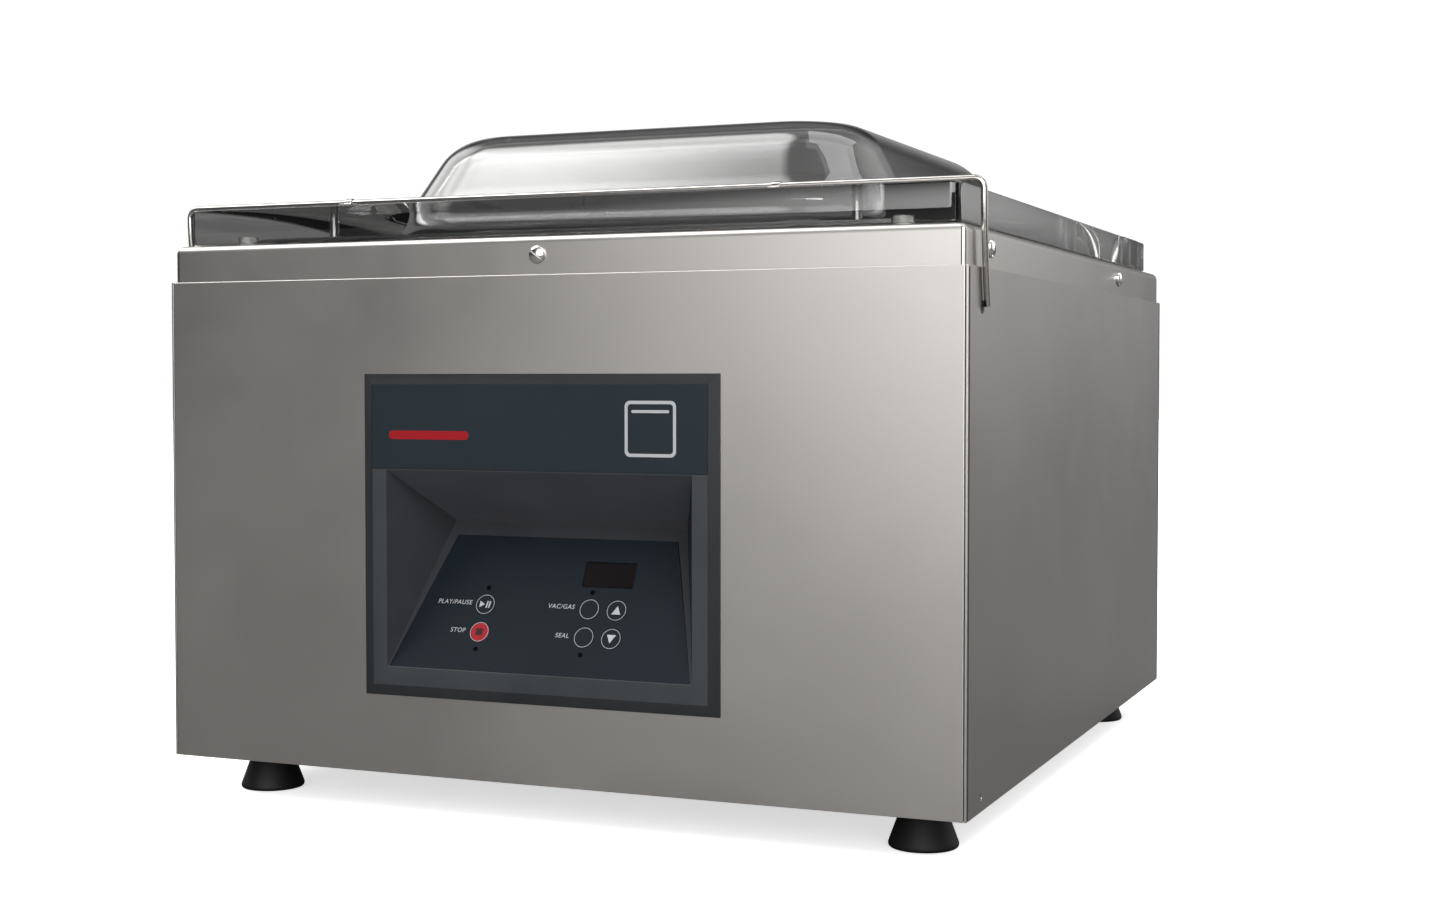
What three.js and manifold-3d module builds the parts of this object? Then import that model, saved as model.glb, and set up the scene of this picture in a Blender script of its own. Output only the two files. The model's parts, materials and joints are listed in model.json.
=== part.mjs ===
import * as THREE from 'three';
import { mergeVertices } from 'three/addons/utils/BufferGeometryUtils.js';
import Module from 'manifold-3d';

const wasm = await Module();
wasm.setup();

// ---------------------------------------------------------------- driving dimensions (mm, +Z up)
const GAP = 0.3;              // running gap between neighbouring pieces
const T = 1.5;                // sheet thickness
const FOOT_H = 28;            // foot height, casing starts here
const CX = 275;               // casing half width (outside of the side panels)
const CY = 299.4;             // casing half depth (outside of front and rear panels)
const CASE_TOP = 345.75;      // top edge of front, side and rear panels
const DECK_TOP = 370;         // top face of the deck
const SX = 273, SY = 297;     // outside of the deck's skirt
const SKIRT_BOT = 331;
const CH = { x: 233, y0: -252, y1: 222, r: 26, floor: 277.2 };   // chamber opening and floor
const SLAB = { x: 266.7, y0: -290, y1: 275, z0: 371.2, z1: 394.3 };
const DOME = { x: 188.3, y0: -193.7, y1: 200.2, r: 67, inset: 34.1, h: 59.4, rt: 38.2, wall: 8 };
const AXLE = { y: 287, z: 387, r: 5 };                  // lid hinge shaft
const WIRE = { r: 2, x: 277.4, y: -275, z: 396.6, tipY: -266.6, tipZ: 323 };
const BEZ = { x: 123.5, z0: 78.65, z1: 284.4, face: -302.4, back: -299.7, flat: 116.4, recX: 106.3, recZ0: 98.3, recZ1: 223.5 };
const FOIL = { b: 104.6, t: 78.3, yb: -301.2, zb: 97.9, yt: -259.9, zt: 179.7, thick: 1.0 };
const BAR = { x: 225, y0: -240, y1: -216, z0: 300, z1: 338 };
const BAR_Y = (BAR.y0 + BAR.y1) / 2;
const PADS = [['front_left', -229, -274], ['front_right', 229, -274], ['rear_left', -250, 247], ['rear_right', 250, 247]];
const RING = { x: 247, y0: -266, y1: 236, r: 40, w: 9.6 };          // groove for the lid's gasket
const FEET_X = 234, FEET_Y = 246.5;

// ---------------------------------------------------------------- helpers
const group = new THREE.Group();
group.name = 'vacuum_chamber_sealer';
const mats = {
  steel: new THREE.MeshStandardMaterial({ color: 0xb9b6b0, metalness: 0.9, roughness: 0.35 }),
  bright: new THREE.MeshStandardMaterial({ color: 0xd6d6d8, metalness: 1, roughness: 0.15 }),
  alu: new THREE.MeshStandardMaterial({ color: 0xc2c4c7, metalness: 0.9, roughness: 0.4 }),
  rubber: new THREE.MeshStandardMaterial({ color: 0x1b1b1c, roughness: 0.8 }),
  silicone: new THREE.MeshStandardMaterial({ color: 0x8d2f22, roughness: 0.7 }),
  grey: new THREE.MeshStandardMaterial({ color: 0x44484b, roughness: 0.5 }),
  label: new THREE.MeshStandardMaterial({ color: 0x2f363d, roughness: 0.45 }),
  dark: new THREE.MeshStandardMaterial({ color: 0x16181a, roughness: 0.3 }),
  red: new THREE.MeshStandardMaterial({ color: 0xbe1428, roughness: 0.45 }),
  green: new THREE.MeshStandardMaterial({ color: 0x1e5a34, roughness: 0.6 }),
  paint: new THREE.MeshStandardMaterial({ color: 0x5d6a72, metalness: 0.3, roughness: 0.5 }),
  white: new THREE.MeshStandardMaterial({ color: 0xe6e3dc, roughness: 0.6 }),
  brass: new THREE.MeshStandardMaterial({ color: 0xb08d45, metalness: 1, roughness: 0.35 }),
  clear: new THREE.MeshStandardMaterial({ color: 0xdfe6ea, roughness: 0.05, transparent: true, opacity: 0.35 }),
};
function add(name, geometry, mat) {
  const m = new THREE.Mesh(geometry, mats[mat]);
  m.name = name;
  group.add(m);
  return m;
}
function weld(g) {
  const c = g.clone();
  c.deleteAttribute('normal'); c.deleteAttribute('uv');
  const w = mergeVertices(c, 1e-4);
  return w;
}
function solid(g) {
  const w = weld(g);
  const idx = w.index ? w.index.array : Uint32Array.from({ length: w.attributes.position.count }, (_, i) => i);
  return new wasm.Manifold(new wasm.Mesh({
    numProp: 3,
    vertProperties: Float32Array.from(w.attributes.position.array),
    triVerts: Uint32Array.from(idx),
  }));
}
function geo(man) {
  const m = man.getMesh();
  const g = new THREE.BufferGeometry();
  g.setAttribute('position', new THREE.BufferAttribute(Float32Array.from(m.vertProperties), 3));
  g.setIndex(new THREE.BufferAttribute(Uint32Array.from(m.triVerts), 1));
  g.computeVertexNormals();
  return g;
}
function box(x0, x1, y0, y1, z0, z1) {
  const g = new THREE.BoxGeometry(x1 - x0, y1 - y0, z1 - z0);
  g.translate((x0 + x1) / 2, (y0 + y1) / 2, (z0 + z1) / 2);
  return g;
}
function cyl(r0, r1, a, b, axis, c0, c1, seg = 24) {
  // cylinder or cone from a (radius r0) to b (radius r1) along axis; c0, c1 are the other two coordinates in order
  const g = new THREE.CylinderGeometry(r1, r0, b - a, seg, 1);
  if (axis === 'x') { g.rotateZ(-Math.PI / 2); g.translate((a + b) / 2, c0, c1); }
  if (axis === 'y') { g.translate(c0, (a + b) / 2, c1); }
  if (axis === 'z') { g.rotateX(Math.PI / 2); g.translate(c0, c1, (a + b) / 2); }
  return g;
}
function lathe(profile, cx, cy, seg = 28) {
  // profile: [r, z] from the axis at the bottom, outside, to the axis at the top
  const g = new THREE.LatheGeometry(profile.map(([r, z]) => new THREE.Vector2(r, z)), seg);
  g.rotateX(Math.PI / 2);
  g.translate(cx, cy, 0);
  return g;
}
function rr(x0, x1, y0, y1, r, z, n = 6) {
  // rounded rectangle ring in a horizontal plane, counter-clockwise from above
  const out = [];
  const cs = [[x1 - r, y1 - r, 0], [x0 + r, y1 - r, 90], [x0 + r, y0 + r, 180], [x1 - r, y0 + r, 270]];
  for (const [cx, cy, a0] of cs) for (let i = 0; i <= n; i++) {
    const a = (a0 + 90 * i / n) * Math.PI / 180;
    out.push([cx + r * Math.cos(a), cy + r * Math.sin(a), z]);
  }
  return out;
}
function loft(rings, closed = false) {
  // rings run from the bottom up for an outward-facing skin; ends are capped unless the rings close on themselves
  const n = rings[0].length, pos = [], idx = [];
  for (const r of rings) for (const p of r) pos.push(...p);
  const m = rings.length, last = closed ? m : m - 1;
  for (let k = 0; k < last; k++) {
    const a = k * n, b = ((k + 1) % m) * n;
    for (let i = 0; i < n; i++) {
      const j = (i + 1) % n;
      idx.push(a + i, a + j, b + j, a + i, b + j, b + i);
    }
  }
  if (!closed) {
    for (const [k, flip] of [[0, true], [m - 1, false]]) {
      const c = [0, 0, 0];
      for (const p of rings[k]) for (let q = 0; q < 3; q++) c[q] += p[q] / n;
      pos.push(...c);
      const ci = pos.length / 3 - 1;
      for (let i = 0; i < n; i++) {
        const j = (i + 1) % n;
        if (flip) idx.push(ci, k * n + j, k * n + i); else idx.push(ci, k * n + i, k * n + j);
      }
    }
  }
  // faces point outwards whichever way the rings run
  let vol = 0;
  for (let i = 0; i < idx.length; i += 3) {
    const [a, b, c] = [idx[i] * 3, idx[i + 1] * 3, idx[i + 2] * 3];
    vol += pos[a] * (pos[b + 1] * pos[c + 2] - pos[b + 2] * pos[c + 1]) - pos[a + 1] * (pos[b] * pos[c + 2] - pos[b + 2] * pos[c]) + pos[a + 2] * (pos[b] * pos[c + 1] - pos[b + 1] * pos[c]);
  }
  if (vol < 0) for (let i = 0; i < idx.length; i += 3) [idx[i + 1], idx[i + 2]] = [idx[i + 2], idx[i + 1]];
  const g = new THREE.BufferGeometry();
  g.setAttribute('position', new THREE.Float32BufferAttribute(pos, 3));
  g.setIndex(idx);
  g.computeVertexNormals();
  return g;
}
function union(...gs) { return gs.map(solid).reduce((a, b) => a.add(b)); }
function cut(base, ...tools) { let m = base; for (const t of tools) m = m.subtract(t.getMesh ? t : solid(t)); return m; }
function tube(points, r, seg, rad = 10, tension = 0.5) {
  const shape = new THREE.Shape();
  shape.absarc(0, 0, r, 0, Math.PI * 2, false);
  const curve = new THREE.CatmullRomCurve3(points.map(p => new THREE.Vector3(...p)), false, 'catmullrom', tension);
  return new THREE.ExtrudeGeometry(shape, { steps: seg, curveSegments: rad, extrudePath: curve, bevelEnabled: false });
}
function hull8(p) {
  // p: 4 points of a base (counter-clockwise seen from outside the base's far side) and 4 of the top, in the same order
  return loft([p.slice(0, 4), p.slice(4, 8)]);
}

// ---------------------------------------------------------------- casing
add('base_pan', loft([
  rr(-273.2, 273.2, -297.6, 297.6, 3, FOOT_H, 1),
  rr(-273.2, 273.2, -297.6, 297.6, 3, 42, 1),
  rr(-271.7, 271.7, -296.1, 296.1, 2, 42, 1),
  rr(-271.7, 271.7, -296.1, 296.1, 2, FOOT_H + T, 1),
]), 'steel');

for (const [n, sx, sy] of [['foot_front_left', -1, -1], ['foot_front_right', 1, -1], ['foot_rear_left', -1, 1], ['foot_rear_right', 1, 1]]) {
  add(n, lathe([[0, 0], [19.4, 0], [21.0, 0.8], [21.4, 2.4], [14.2, 21.5], [13.5, 23.5], [13.5, FOOT_H - GAP], [0, FOOT_H - GAP]], sx * FEET_X, sy * FEET_Y, 26), 'rubber');
}

add('front_panel', geo(cut(
  solid(box(-273.2, 273.2, -CY, -CY + T, FOOT_H, CASE_TOP)),
  box(-119.5, 119.5, -310, -290, 82.6, 280.4),
)), 'steel');

for (const [n, s] of [['side_panel_left', -1], ['side_panel_right', 1]]) {
  const a = s > 0 ? [CX - T, CX] : [-CX, -CX + T];
  add(n, geo(cut(
    solid(box(a[0], a[1], -299.1, CY, FOOT_H, CASE_TOP)),
    cyl(2.35, 2.35, -300, 300, 'x', -268, 37.1, 12),
    cyl(3.2, 3.2, -300, 300, 'x', -269.3, 322.8, 12),
  )), 'steel');
}

{
  const tools = [box(-207.4, -132.6, 290, 305, 72.6, 117.4)];
  for (let i = 0; i < 7; i++) for (const x of [40, 150]) tools.push(box(x - 40, x + 40, 290, 305, 90 + i * 14, 95 + i * 14));
  add('rear_panel', geo(cut(solid(box(-273.2, 273.2, CY - T, CY, FOOT_H, CASE_TOP)), ...tools)), 'steel');
}

add('top_plate', loft([
  rr(-SX, SX, -SY, SY, 2.5, SKIRT_BOT, 4),
  rr(-SX, SX, -SY, SY, 2.5, DECK_TOP - 4, 4),
  rr(-SX + 1.2, SX - 1.2, -SY + 1.2, SY - 1.2, 2.5, DECK_TOP - 1.2, 4),
  rr(-SX + 4, SX - 4, -SY + 4, SY - 4, 2.5, DECK_TOP, 4),
  rr(-CH.x, CH.x, CH.y0, CH.y1, CH.r, DECK_TOP, 4),
  rr(-CH.x, CH.x, CH.y0, CH.y1, CH.r, DECK_TOP - T, 4),
  rr(-SX + 4, SX - 4, -SY + 4, SY - 4, 2.5, DECK_TOP - T, 4),
  rr(-SX + T, SX - T, -SY + T, SY - T, 1.5, DECK_TOP - 4.6, 4),
  rr(-SX + T, SX - T, -SY + T, SY - T, 1.5, SKIRT_BOT, 4),
], true), 'steel');

{
  const f = DECK_TOP - T - GAP, w = T;
  const o = (d, r, z) => rr(-CH.x - d, CH.x + d, CH.y0 - d, CH.y1 + d, r, z, 5);
  const body = loft([
    o(-12, 18, CH.floor - w), o(-4, 24, CH.floor - w + 2.5), o(w, CH.r + w, CH.floor + 9),
    o(w, CH.r + w, f - w), o(10, CH.r + 10, f - w), o(10, CH.r + 10, f),
    o(0, CH.r, f), o(0, CH.r, CH.floor + 10), o(-4, 23, CH.floor + 3), o(-12, 17, CH.floor),
  ]);
  add('chamber_tub', geo(cut(solid(body),
    cyl(4.9, 4.9, 270, 282, 'z', -150, BAR_Y, 14), cyl(4.9, 4.9, 270, 282, 'z', 150, BAR_Y, 14),
    cyl(9, 9, 270, 282, 'z', 0, 120, 18),
    cyl(3.6, 3.6, 270, 282, 'z', 0, -160, 12),
  )), 'bright');
}

// skirt screws: domed slotted heads with a short shank through the skirt
function screw(x, y, z, axis, s) {
  const prof = [[0, 0], [5.6, 0], [5.6, 0.9], [4.6, 2.1], [2.6, 2.8], [0, 3.0]];
  const g = new THREE.LatheGeometry(prof.map(([r, h]) => new THREE.Vector2(r, h)), 18);
  if (axis === 'x') g.rotateZ(-s * Math.PI / 2); else g.rotateX(s > 0 ? 0 : Math.PI);
  g.translate(x, y, z);
  if (axis === 'y') return geo(cut(solid(g), box(x - 6, x + 6, Math.min(y + s * 1.9, y + s * 4), Math.max(y + s * 1.9, y + s * 4), z - 0.5, z + 0.5)));
  return geo(cut(solid(g), box(Math.min(x + s * 1.9, x + s * 4), Math.max(x + s * 1.9, x + s * 4), y - 6, y + 6, z - 0.5, z + 0.5)));
}
add('skirt_screw_front', screw(0, -SY - 0.1, 358, 'y', -1), 'bright');
for (const [n, s] of [['left', -1], ['right', 1]]) {
  add(`skirt_screw_${n}_front`, screw(s * (SX + 0.1), -244.5, 358, 'x', s), 'bright');
  add(`skirt_screw_${n}_rear`, screw(s * (SX + 0.1), 133.7, 358, 'x', s), 'bright');
}

// ---------------------------------------------------------------- console
const slope = new THREE.Vector3(0, FOIL.yt - FOIL.yb, FOIL.zt - FOIL.zb);
const slopeL = slope.length(); slope.normalize();
const slopeN = new THREE.Vector3(0, -slope.z, slope.y);          // out of the keypad, towards the user
const tilt = Math.atan2(slope.z, slope.y);                       // slope angle above the horizontal
function onFoil(u, v, h) {
  // u across, v up the slope from its lower edge, h out of its face
  return [u, FOIL.yb + slope.y * v + slopeN.y * h, FOIL.zb + slope.z * v + slopeN.z * h];
}
function recess(grow, front) {
  // mouth corners and back-line ends, pushed out by grow
  const k = (front - BEZ.face) / (-255.0 - BEZ.face);
  const lerp = (a, b) => a + (b - a) * k;
  const x = lerp(BEZ.recX, 83) + grow, zb = lerp(BEZ.recZ0 - 1.0, 187.6) - grow * 1.15, zt = lerp(BEZ.recZ1, 189.4) + grow * 1.1;
  const xb = 83 + grow, y = -255 + grow * 1.1, z0 = 187.6 - grow * 0.6, z1 = 189.4 + grow * 0.6;
  return hull8([[-x, front, zb], [x, front, zb], [x, front, zt], [-x, front, zt], [-xb, y, z0], [xb, y, z0], [xb, y, z1], [-xb, y, z1]]);
}
const KEYS = { key_start: [-46.4, 44.4], key_stop: [-46.2, 25.8], key_gas: [27.4, 44.4], key_seal: [27.6, 25.8], key_up: [46.2, 44.4], key_down: [46.3, 25.8] };
const KEY_R = 6.6, KEY_HOLE = 7.0;
function slopeDisc(u, v, r, h0, h1, seg = 24) {
  const g = new THREE.CylinderGeometry(r, r, h1 - h0, seg, 1);
  g.rotateX(Math.PI / 2);                 // axis along +z
  g.rotateX(tilt);                        // axis along the keypad's normal
  const c = onFoil(u, v, (h0 + h1) / 2);
  g.translate(...c);
  return g;
}
function slopePlate(quad, h0, h1) {
  // quad: [u, v] corners counter-clockwise seen from the user
  return loft([quad.map(([u, v]) => onFoil(u, v, h0)), quad.map(([u, v]) => onFoil(u, v, h1))]);
}
const rectUV = (u0, u1, v0, v1) => [[u0, v0], [u1, v0], [u1, v1], [u0, v1]];
{
  const flange = loft([
    [[-BEZ.x, BEZ.back, BEZ.z0], [-BEZ.x, BEZ.back, BEZ.z1], [BEZ.x, BEZ.back, BEZ.z1], [BEZ.x, BEZ.back, BEZ.z0]],
    [[-BEZ.x, BEZ.back - 0.5, BEZ.z0], [-BEZ.x, BEZ.back - 0.5, BEZ.z1], [BEZ.x, BEZ.back - 0.5, BEZ.z1], [BEZ.x, BEZ.back - 0.5, BEZ.z0]],
    [[-BEZ.flat, BEZ.face, BEZ.z0 + 7.1], [-BEZ.flat, BEZ.face, BEZ.z1 - 7.1], [BEZ.flat, BEZ.face, BEZ.z1 - 7.1], [BEZ.flat, BEZ.face, BEZ.z0 + 7.1]],
  ]);
  const shell = recess(3.2, BEZ.back - 0.8);
  const tools = [recess(0, BEZ.face - 1), box(-116.9, 116.9, -310, BEZ.face + 0.7, 223.9, 278.1)];
  for (const [u, v] of Object.values(KEYS)) tools.push(slopeDisc(u, v, KEY_HOLE, -12, 4));
  const floorPocket = slopePlate([[-FOIL.b - 0.4, -0.4], [FOIL.b + 0.4, -0.4], [FOIL.t + 0.4, slopeL + 0.4], [-FOIL.t - 0.4, slopeL + 0.4]], -FOIL.thick - GAP, 3);
  add('control_bezel', geo(cut(union(flange, shell), ...tools, floorPocket)), 'grey');
}
add('nameplate', box(-BEZ.flat, BEZ.flat, BEZ.face, BEZ.face + 0.4, 224.3, 277.7), 'label');
{
  const plate = slopePlate([[-FOIL.b, 0], [FOIL.b, 0], [FOIL.t, slopeL], [-FOIL.t, slopeL]], -FOIL.thick, 0);
  const tools = Object.values(KEYS).map(([u, v]) => slopeDisc(u, v, KEY_HOLE, -3, 3));
  tools.push(slopePlate(rectUV(18.7, 54.3, 59.2, 76.2), -3, 3));
  add('membrane_panel', geo(cut(solid(plate), ...tools)), 'label');
}
add('display_window', slopePlate(rectUV(19.0, 54.0, 59.5, 75.9), -FOIL.thick, -0.15), 'dark');
for (const [n, [u, v]] of Object.entries(KEYS)) add(n, slopeDisc(u, v, KEY_R, -FOIL.thick - 0.4, 0.25), n === 'key_stop' ? 'red' : 'label');
add('control_board', slopePlate(rectUV(-72, 72, 8, 88), -12.6, -11.0), 'green');

// ---------------------------------------------------------------- works inside the casing
add('vacuum_pump', geo(union(
  box(-190, -30, -55, 105, 44, 204), box(-176, -44, -69, -54, 60, 190), cyl(17, 17, 203, 216, 'z', -100, 20, 20),
  box(-186, -150, -51, -20, 29.8, 45), box(-70, -34, -51, -20, 29.8, 45), box(-186, -150, 70, 101, 29.8, 45), box(-70, -34, 70, 101, 29.8, 45),
  cyl(26, 26, 104, 112, 'y', -110, 110, 20),
)), 'paint');
add('pump_motor', geo(union(
  cyl(72, 72, -29.6, 140, 'x', 25, 124, 32), cyl(78, 78, -29.6, -14, 'x', 25, 124, 32), box(20, 90, -5, 55, 190, 214),
  box(20, 100, -40, 90, 29.8, 60), cyl(8, 8, 139, 158, 'x', 25, 124, 16),
)), 'paint');
{
  const blades = [cyl(20, 20, 146, 160, 'x', 25, 124, 20)];
  for (let i = 0; i < 6; i++) {
    const b = box(148, 158, 24.0 - 1.2, 24.0 + 1.2, 124 + 15, 124 + 64);
    b.translate(0, -24, -124); b.rotateX(i * Math.PI / 3); b.translate(0, 25, 124);
    blades.push(b);
  }
  add('cooling_fan', geo(cut(union(...blades), cyl(8.4, 8.4, 138, 158.3, 'x', 25, 124, 16))), 'dark');
}
add('exhaust_filter', geo(union(
  cyl(38, 38, 60, 232, 'z', -110, 160, 26), cyl(14, 14, 112.4, 124, 'y', -110, 110, 16), cyl(18, 18, 232, 240, 'z', -110, 160, 18),
)), 'paint');
add('solenoid_valve', geo(union(
  box(-24, 24, 98, 142, 226, 262), cyl(8.5, 8.5, 262, 275.4, 'z', 0, 120, 16), cyl(19, 19, 150 - 8.2, 178, 'y', 0, 244, 20),
  cyl(9.5, 9.5, -32, -23.5, 'x', 120, 244, 16),
)), 'brass');
add('vacuum_hose', tube([[-33, 120, 244], [-52, 119.5, 244], [-78, 106, 246], [-95, 76, 248], [-100, 42, 246], [-100, 24, 237], [-100, 20, 225], [-100, 20, 216.8]], 11, 18, 8), 'rubber');
add('transformer', geo(union(box(130, 220, 150, 230, 34, 104), box(146, 204, 138, 242, 44, 94), box(124, 226, 146, 234, 29.8, 35))), 'steel');
for (const [n, s] of [['left', -1], ['right', 1]]) {
  add(`lift_cylinder_${n}`, geo(cut(union(cyl(16, 16, 224, 268, 'z', s * 150, BAR_Y, 24), box(s * 150 - 20, s * 150 + 20, BAR_Y - 20, BAR_Y + 20, 267, 275.4)),
    cyl(5.2, 5.2, 234, 290, 'z', s * 150, BAR_Y, 16))), 'alu');
  add(`lift_rod_${n}`, cyl(4.3, 4.3, 240, 299.7, 'z', s * 150, BAR_Y, 16), 'bright');
}
add('mains_inlet', geo(cut(
  union(box(-210, -130, CY + GAP, 301.6, 70, 120), box(-206, -134, 268, CY + 1, 74, 116)),
  box(-202, -174, 280, 305, 83, 105),
  box(-166.4, -141.6, 284, 305, 79.2, 110.8),
).add(solid(box(-189.0, -187.0, 276, 296, 93, 99))).add(solid(box(-197.5, -195.5, 276, 296, 90, 96))).add(solid(box(-180.5, -178.5, 276, 296, 90, 96)))), 'dark');
add('power_switch', geo(cut(union(box(-165.9, -142.1, 291, 300.4, 80.2, 109.8), box(-165.9, -142.1, 291, 302.4, 95.4, 109.8)))), 'red');

// ---------------------------------------------------------------- seal bar
add('seal_bar', geo(union(box(-BAR.x, BAR.x, BAR.y0, BAR.y1, BAR.z0, BAR.z1 - 6), box(-BAR.x, BAR.x, BAR.y0 + 4, BAR.y1 - 4, BAR.z1 - 7, BAR.z1))), 'alu');
add('seal_element', box(-BAR.x + 4, BAR.x - 4, BAR.y0 + 6, BAR.y1 - 6, BAR.z1 + 0.1, BAR.z1 + 1.3), 'white');

// ---------------------------------------------------------------- hinge on the deck
for (const [n, s] of [['left', -1], ['right', 1]]) {
  const x0 = s > 0 ? 203 : -226, x1 = s > 0 ? 226 : -203;
  add(`hinge_block_${n}`, geo(cut(union(box(x0, x1, 277, 297, DECK_TOP + GAP, AXLE.z), cyl(10, 10, x0, x1, 'x', AXLE.y, AXLE.z, 24)),
    cyl(AXLE.r + 0.4, AXLE.r + 0.4, x0 - 2, x1 + 2, 'x', AXLE.y, AXLE.z, 24))), 'alu');
}
add('hinge_shaft', cyl(AXLE.r, AXLE.r, -251.5, 251.5, 'x', AXLE.y, AXLE.z, 24), 'bright');

// ---------------------------------------------------------------- lid
const domeRings = (d, z0, h, n) => {
  // d: how far inside the outer skin; rings up to a height h above z0
  const th = Math.atan2(DOME.h, DOME.inset), tl = DOME.rt * Math.tan(th / 2);
  const prof = [[0, 0], [DOME.inset - Math.cos(th) * tl, DOME.h - Math.sin(th) * tl]];
  const cx = DOME.inset + tl, cz = DOME.h - DOME.rt;
  for (let i = 1; i <= n; i++) { const t = th * i / n; prof.push([cx - DOME.rt * Math.sin(th - t), cz + DOME.rt * Math.cos(th - t)]); }
  return prof;
};
function domeRing(o, z, seg = 9) {
  const r = Math.max(DOME.r - o * 0.6, 4);
  return rr(-DOME.x + o, DOME.x - o, DOME.y0 + o, DOME.y1 - o, r, z, seg);
}
{
  const slab = loft([
    rr(-SLAB.x + 0.8, SLAB.x - 0.8, SLAB.y0 + 0.8, SLAB.y1 - 0.8, 6, SLAB.z0, 4), rr(-SLAB.x, SLAB.x, SLAB.y0, SLAB.y1, 6, SLAB.z0 + 0.8, 4),
    rr(-SLAB.x, SLAB.x, SLAB.y0, SLAB.y1, 6, SLAB.z1 - 0.8, 4), rr(-SLAB.x + 0.8, SLAB.x - 0.8, SLAB.y0 + 0.8, SLAB.y1 - 0.8, 6, SLAB.z1, 4)]);
  const prof = domeRings(0, 0, 0, 6);
  const dome = loft([domeRing(0, SLAB.z1 - 3), ...prof.map(([o, h]) => domeRing(o, SLAB.z1 + h))]);
  // cavity: flared mouth in the slab, then an inner skin 8 mm inside the dome's
  const w = DOME.wall;
  const inner = prof.slice(1).map(([o, h], i, a) => {
    const p = i === 0 ? prof[0] : prof[i], q = prof[i + 1 < prof.length ? i + 1 : i];
    return domeRing(o + w * (i === 0 ? 0.87 : Math.cos((Math.PI / 2) * (i / (a.length - 1)) * 0.9 + 0.1) * 0.9 + 0.05), SLAB.z1 + h - w * (i === 0 ? 0.3 : Math.min(1, 0.35 + 0.65 * i / (a.length - 1) * 1.15)));
  });
  const cav = loft([domeRing(-16, SLAB.z0 - 1), domeRing(-14.5, SLAB.z0 + 3), domeRing(0, SLAB.z0 + 12), domeRing(w * 0.87, SLAB.z1 - 1), ...inner]);
  let lid = solid(slab).add(solid(dome)).subtract(solid(cav));
  const ring = (d, z) => rr(-RING.x + d, RING.x - d, RING.y0 + d, RING.y1 - d, RING.r - d, z, 6);
  const groove = loft([ring(0, SLAB.z0 - 2), ring(0, SLAB.z0 + 4.8), ring(RING.w, SLAB.z0 + 4.8), ring(RING.w, SLAB.z0 - 2)], true);
  lid = lid.subtract(solid(groove));
  for (const [, x, y] of PADS) lid = lid.subtract(solid(cyl(6.9, 6.9, SLAB.z0 - 2, SLAB.z0 + 5.2, 'z', x, y, 20)));
  for (const x of [-187, 187]) lid = lid.subtract(solid(cyl(3.4, 3.4, SLAB.z0 - 2, SLAB.z1 + 2, 'z', x, BAR_Y, 14)));
  add('lid_dome', geo(lid), 'clear');

  add('lid_gasket', loft([ring(0.4, DECK_TOP + GAP), ring(0.4, SLAB.z0 + 4.4), ring(RING.w - 0.4, SLAB.z0 + 4.4), ring(RING.w - 0.4, DECK_TOP + GAP)], true), 'rubber');
}
for (const [n, x, y] of PADS) {
  add(`lid_pad_${n}`, cyl(6.5, 6.5, DECK_TOP + GAP, SLAB.z0 + 4.8, 'z', x, y, 20), 'white');
}
add('counter_bar', geo(cut(solid(box(-BAR.x, BAR.x, BAR.y0, BAR.y1, 352, SLAB.z0 - GAP)), ...[-187, 187].map(x => cyl(3.4, 3.4, 356, 380, 'z', x, BAR_Y, 14)))), 'alu');
add('counter_silicone', box(-BAR.x + 2, BAR.x - 2, BAR.y0 + 5, BAR.y1 - 5, 346, 351.7), 'silicone');
for (const [n, s] of [['left', -1], ['right', 1]]) {
  add(`bar_screw_${n}`, geo(union(cyl(3, 3, 358, SLAB.z1 + 1, 'z', s * 187, BAR_Y, 14), cyl(6, 4.6, SLAB.z1 + 0.3, SLAB.z1 + 3.2, 'z', s * 187, BAR_Y, 18))), 'bright');
}
for (const [n, s] of [['left', -1], ['right', 1]]) {
  const x0 = s > 0 ? 229 : -250, x1 = s > 0 ? 250 : -229, xp = s > 0 ? 261 : -261;
  add(`hinge_arm_${n}`, geo(cut(union(box(Math.min(x0, xp), Math.max(x1, xp), 222, 274, SLAB.z1 + GAP, SLAB.z1 + 2.3), box(x0, x1, 270, 285, SLAB.z1 + GAP, SLAB.z1 + 2.3), cyl(11, 11, x0, x1, 'x', AXLE.y, AXLE.z, 24)),
    cyl(AXLE.r + 0.4, AXLE.r + 0.4, x0 - 2, x1 + 2, 'x', AXLE.y, AXLE.z, 24))), 'alu');
}
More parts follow.
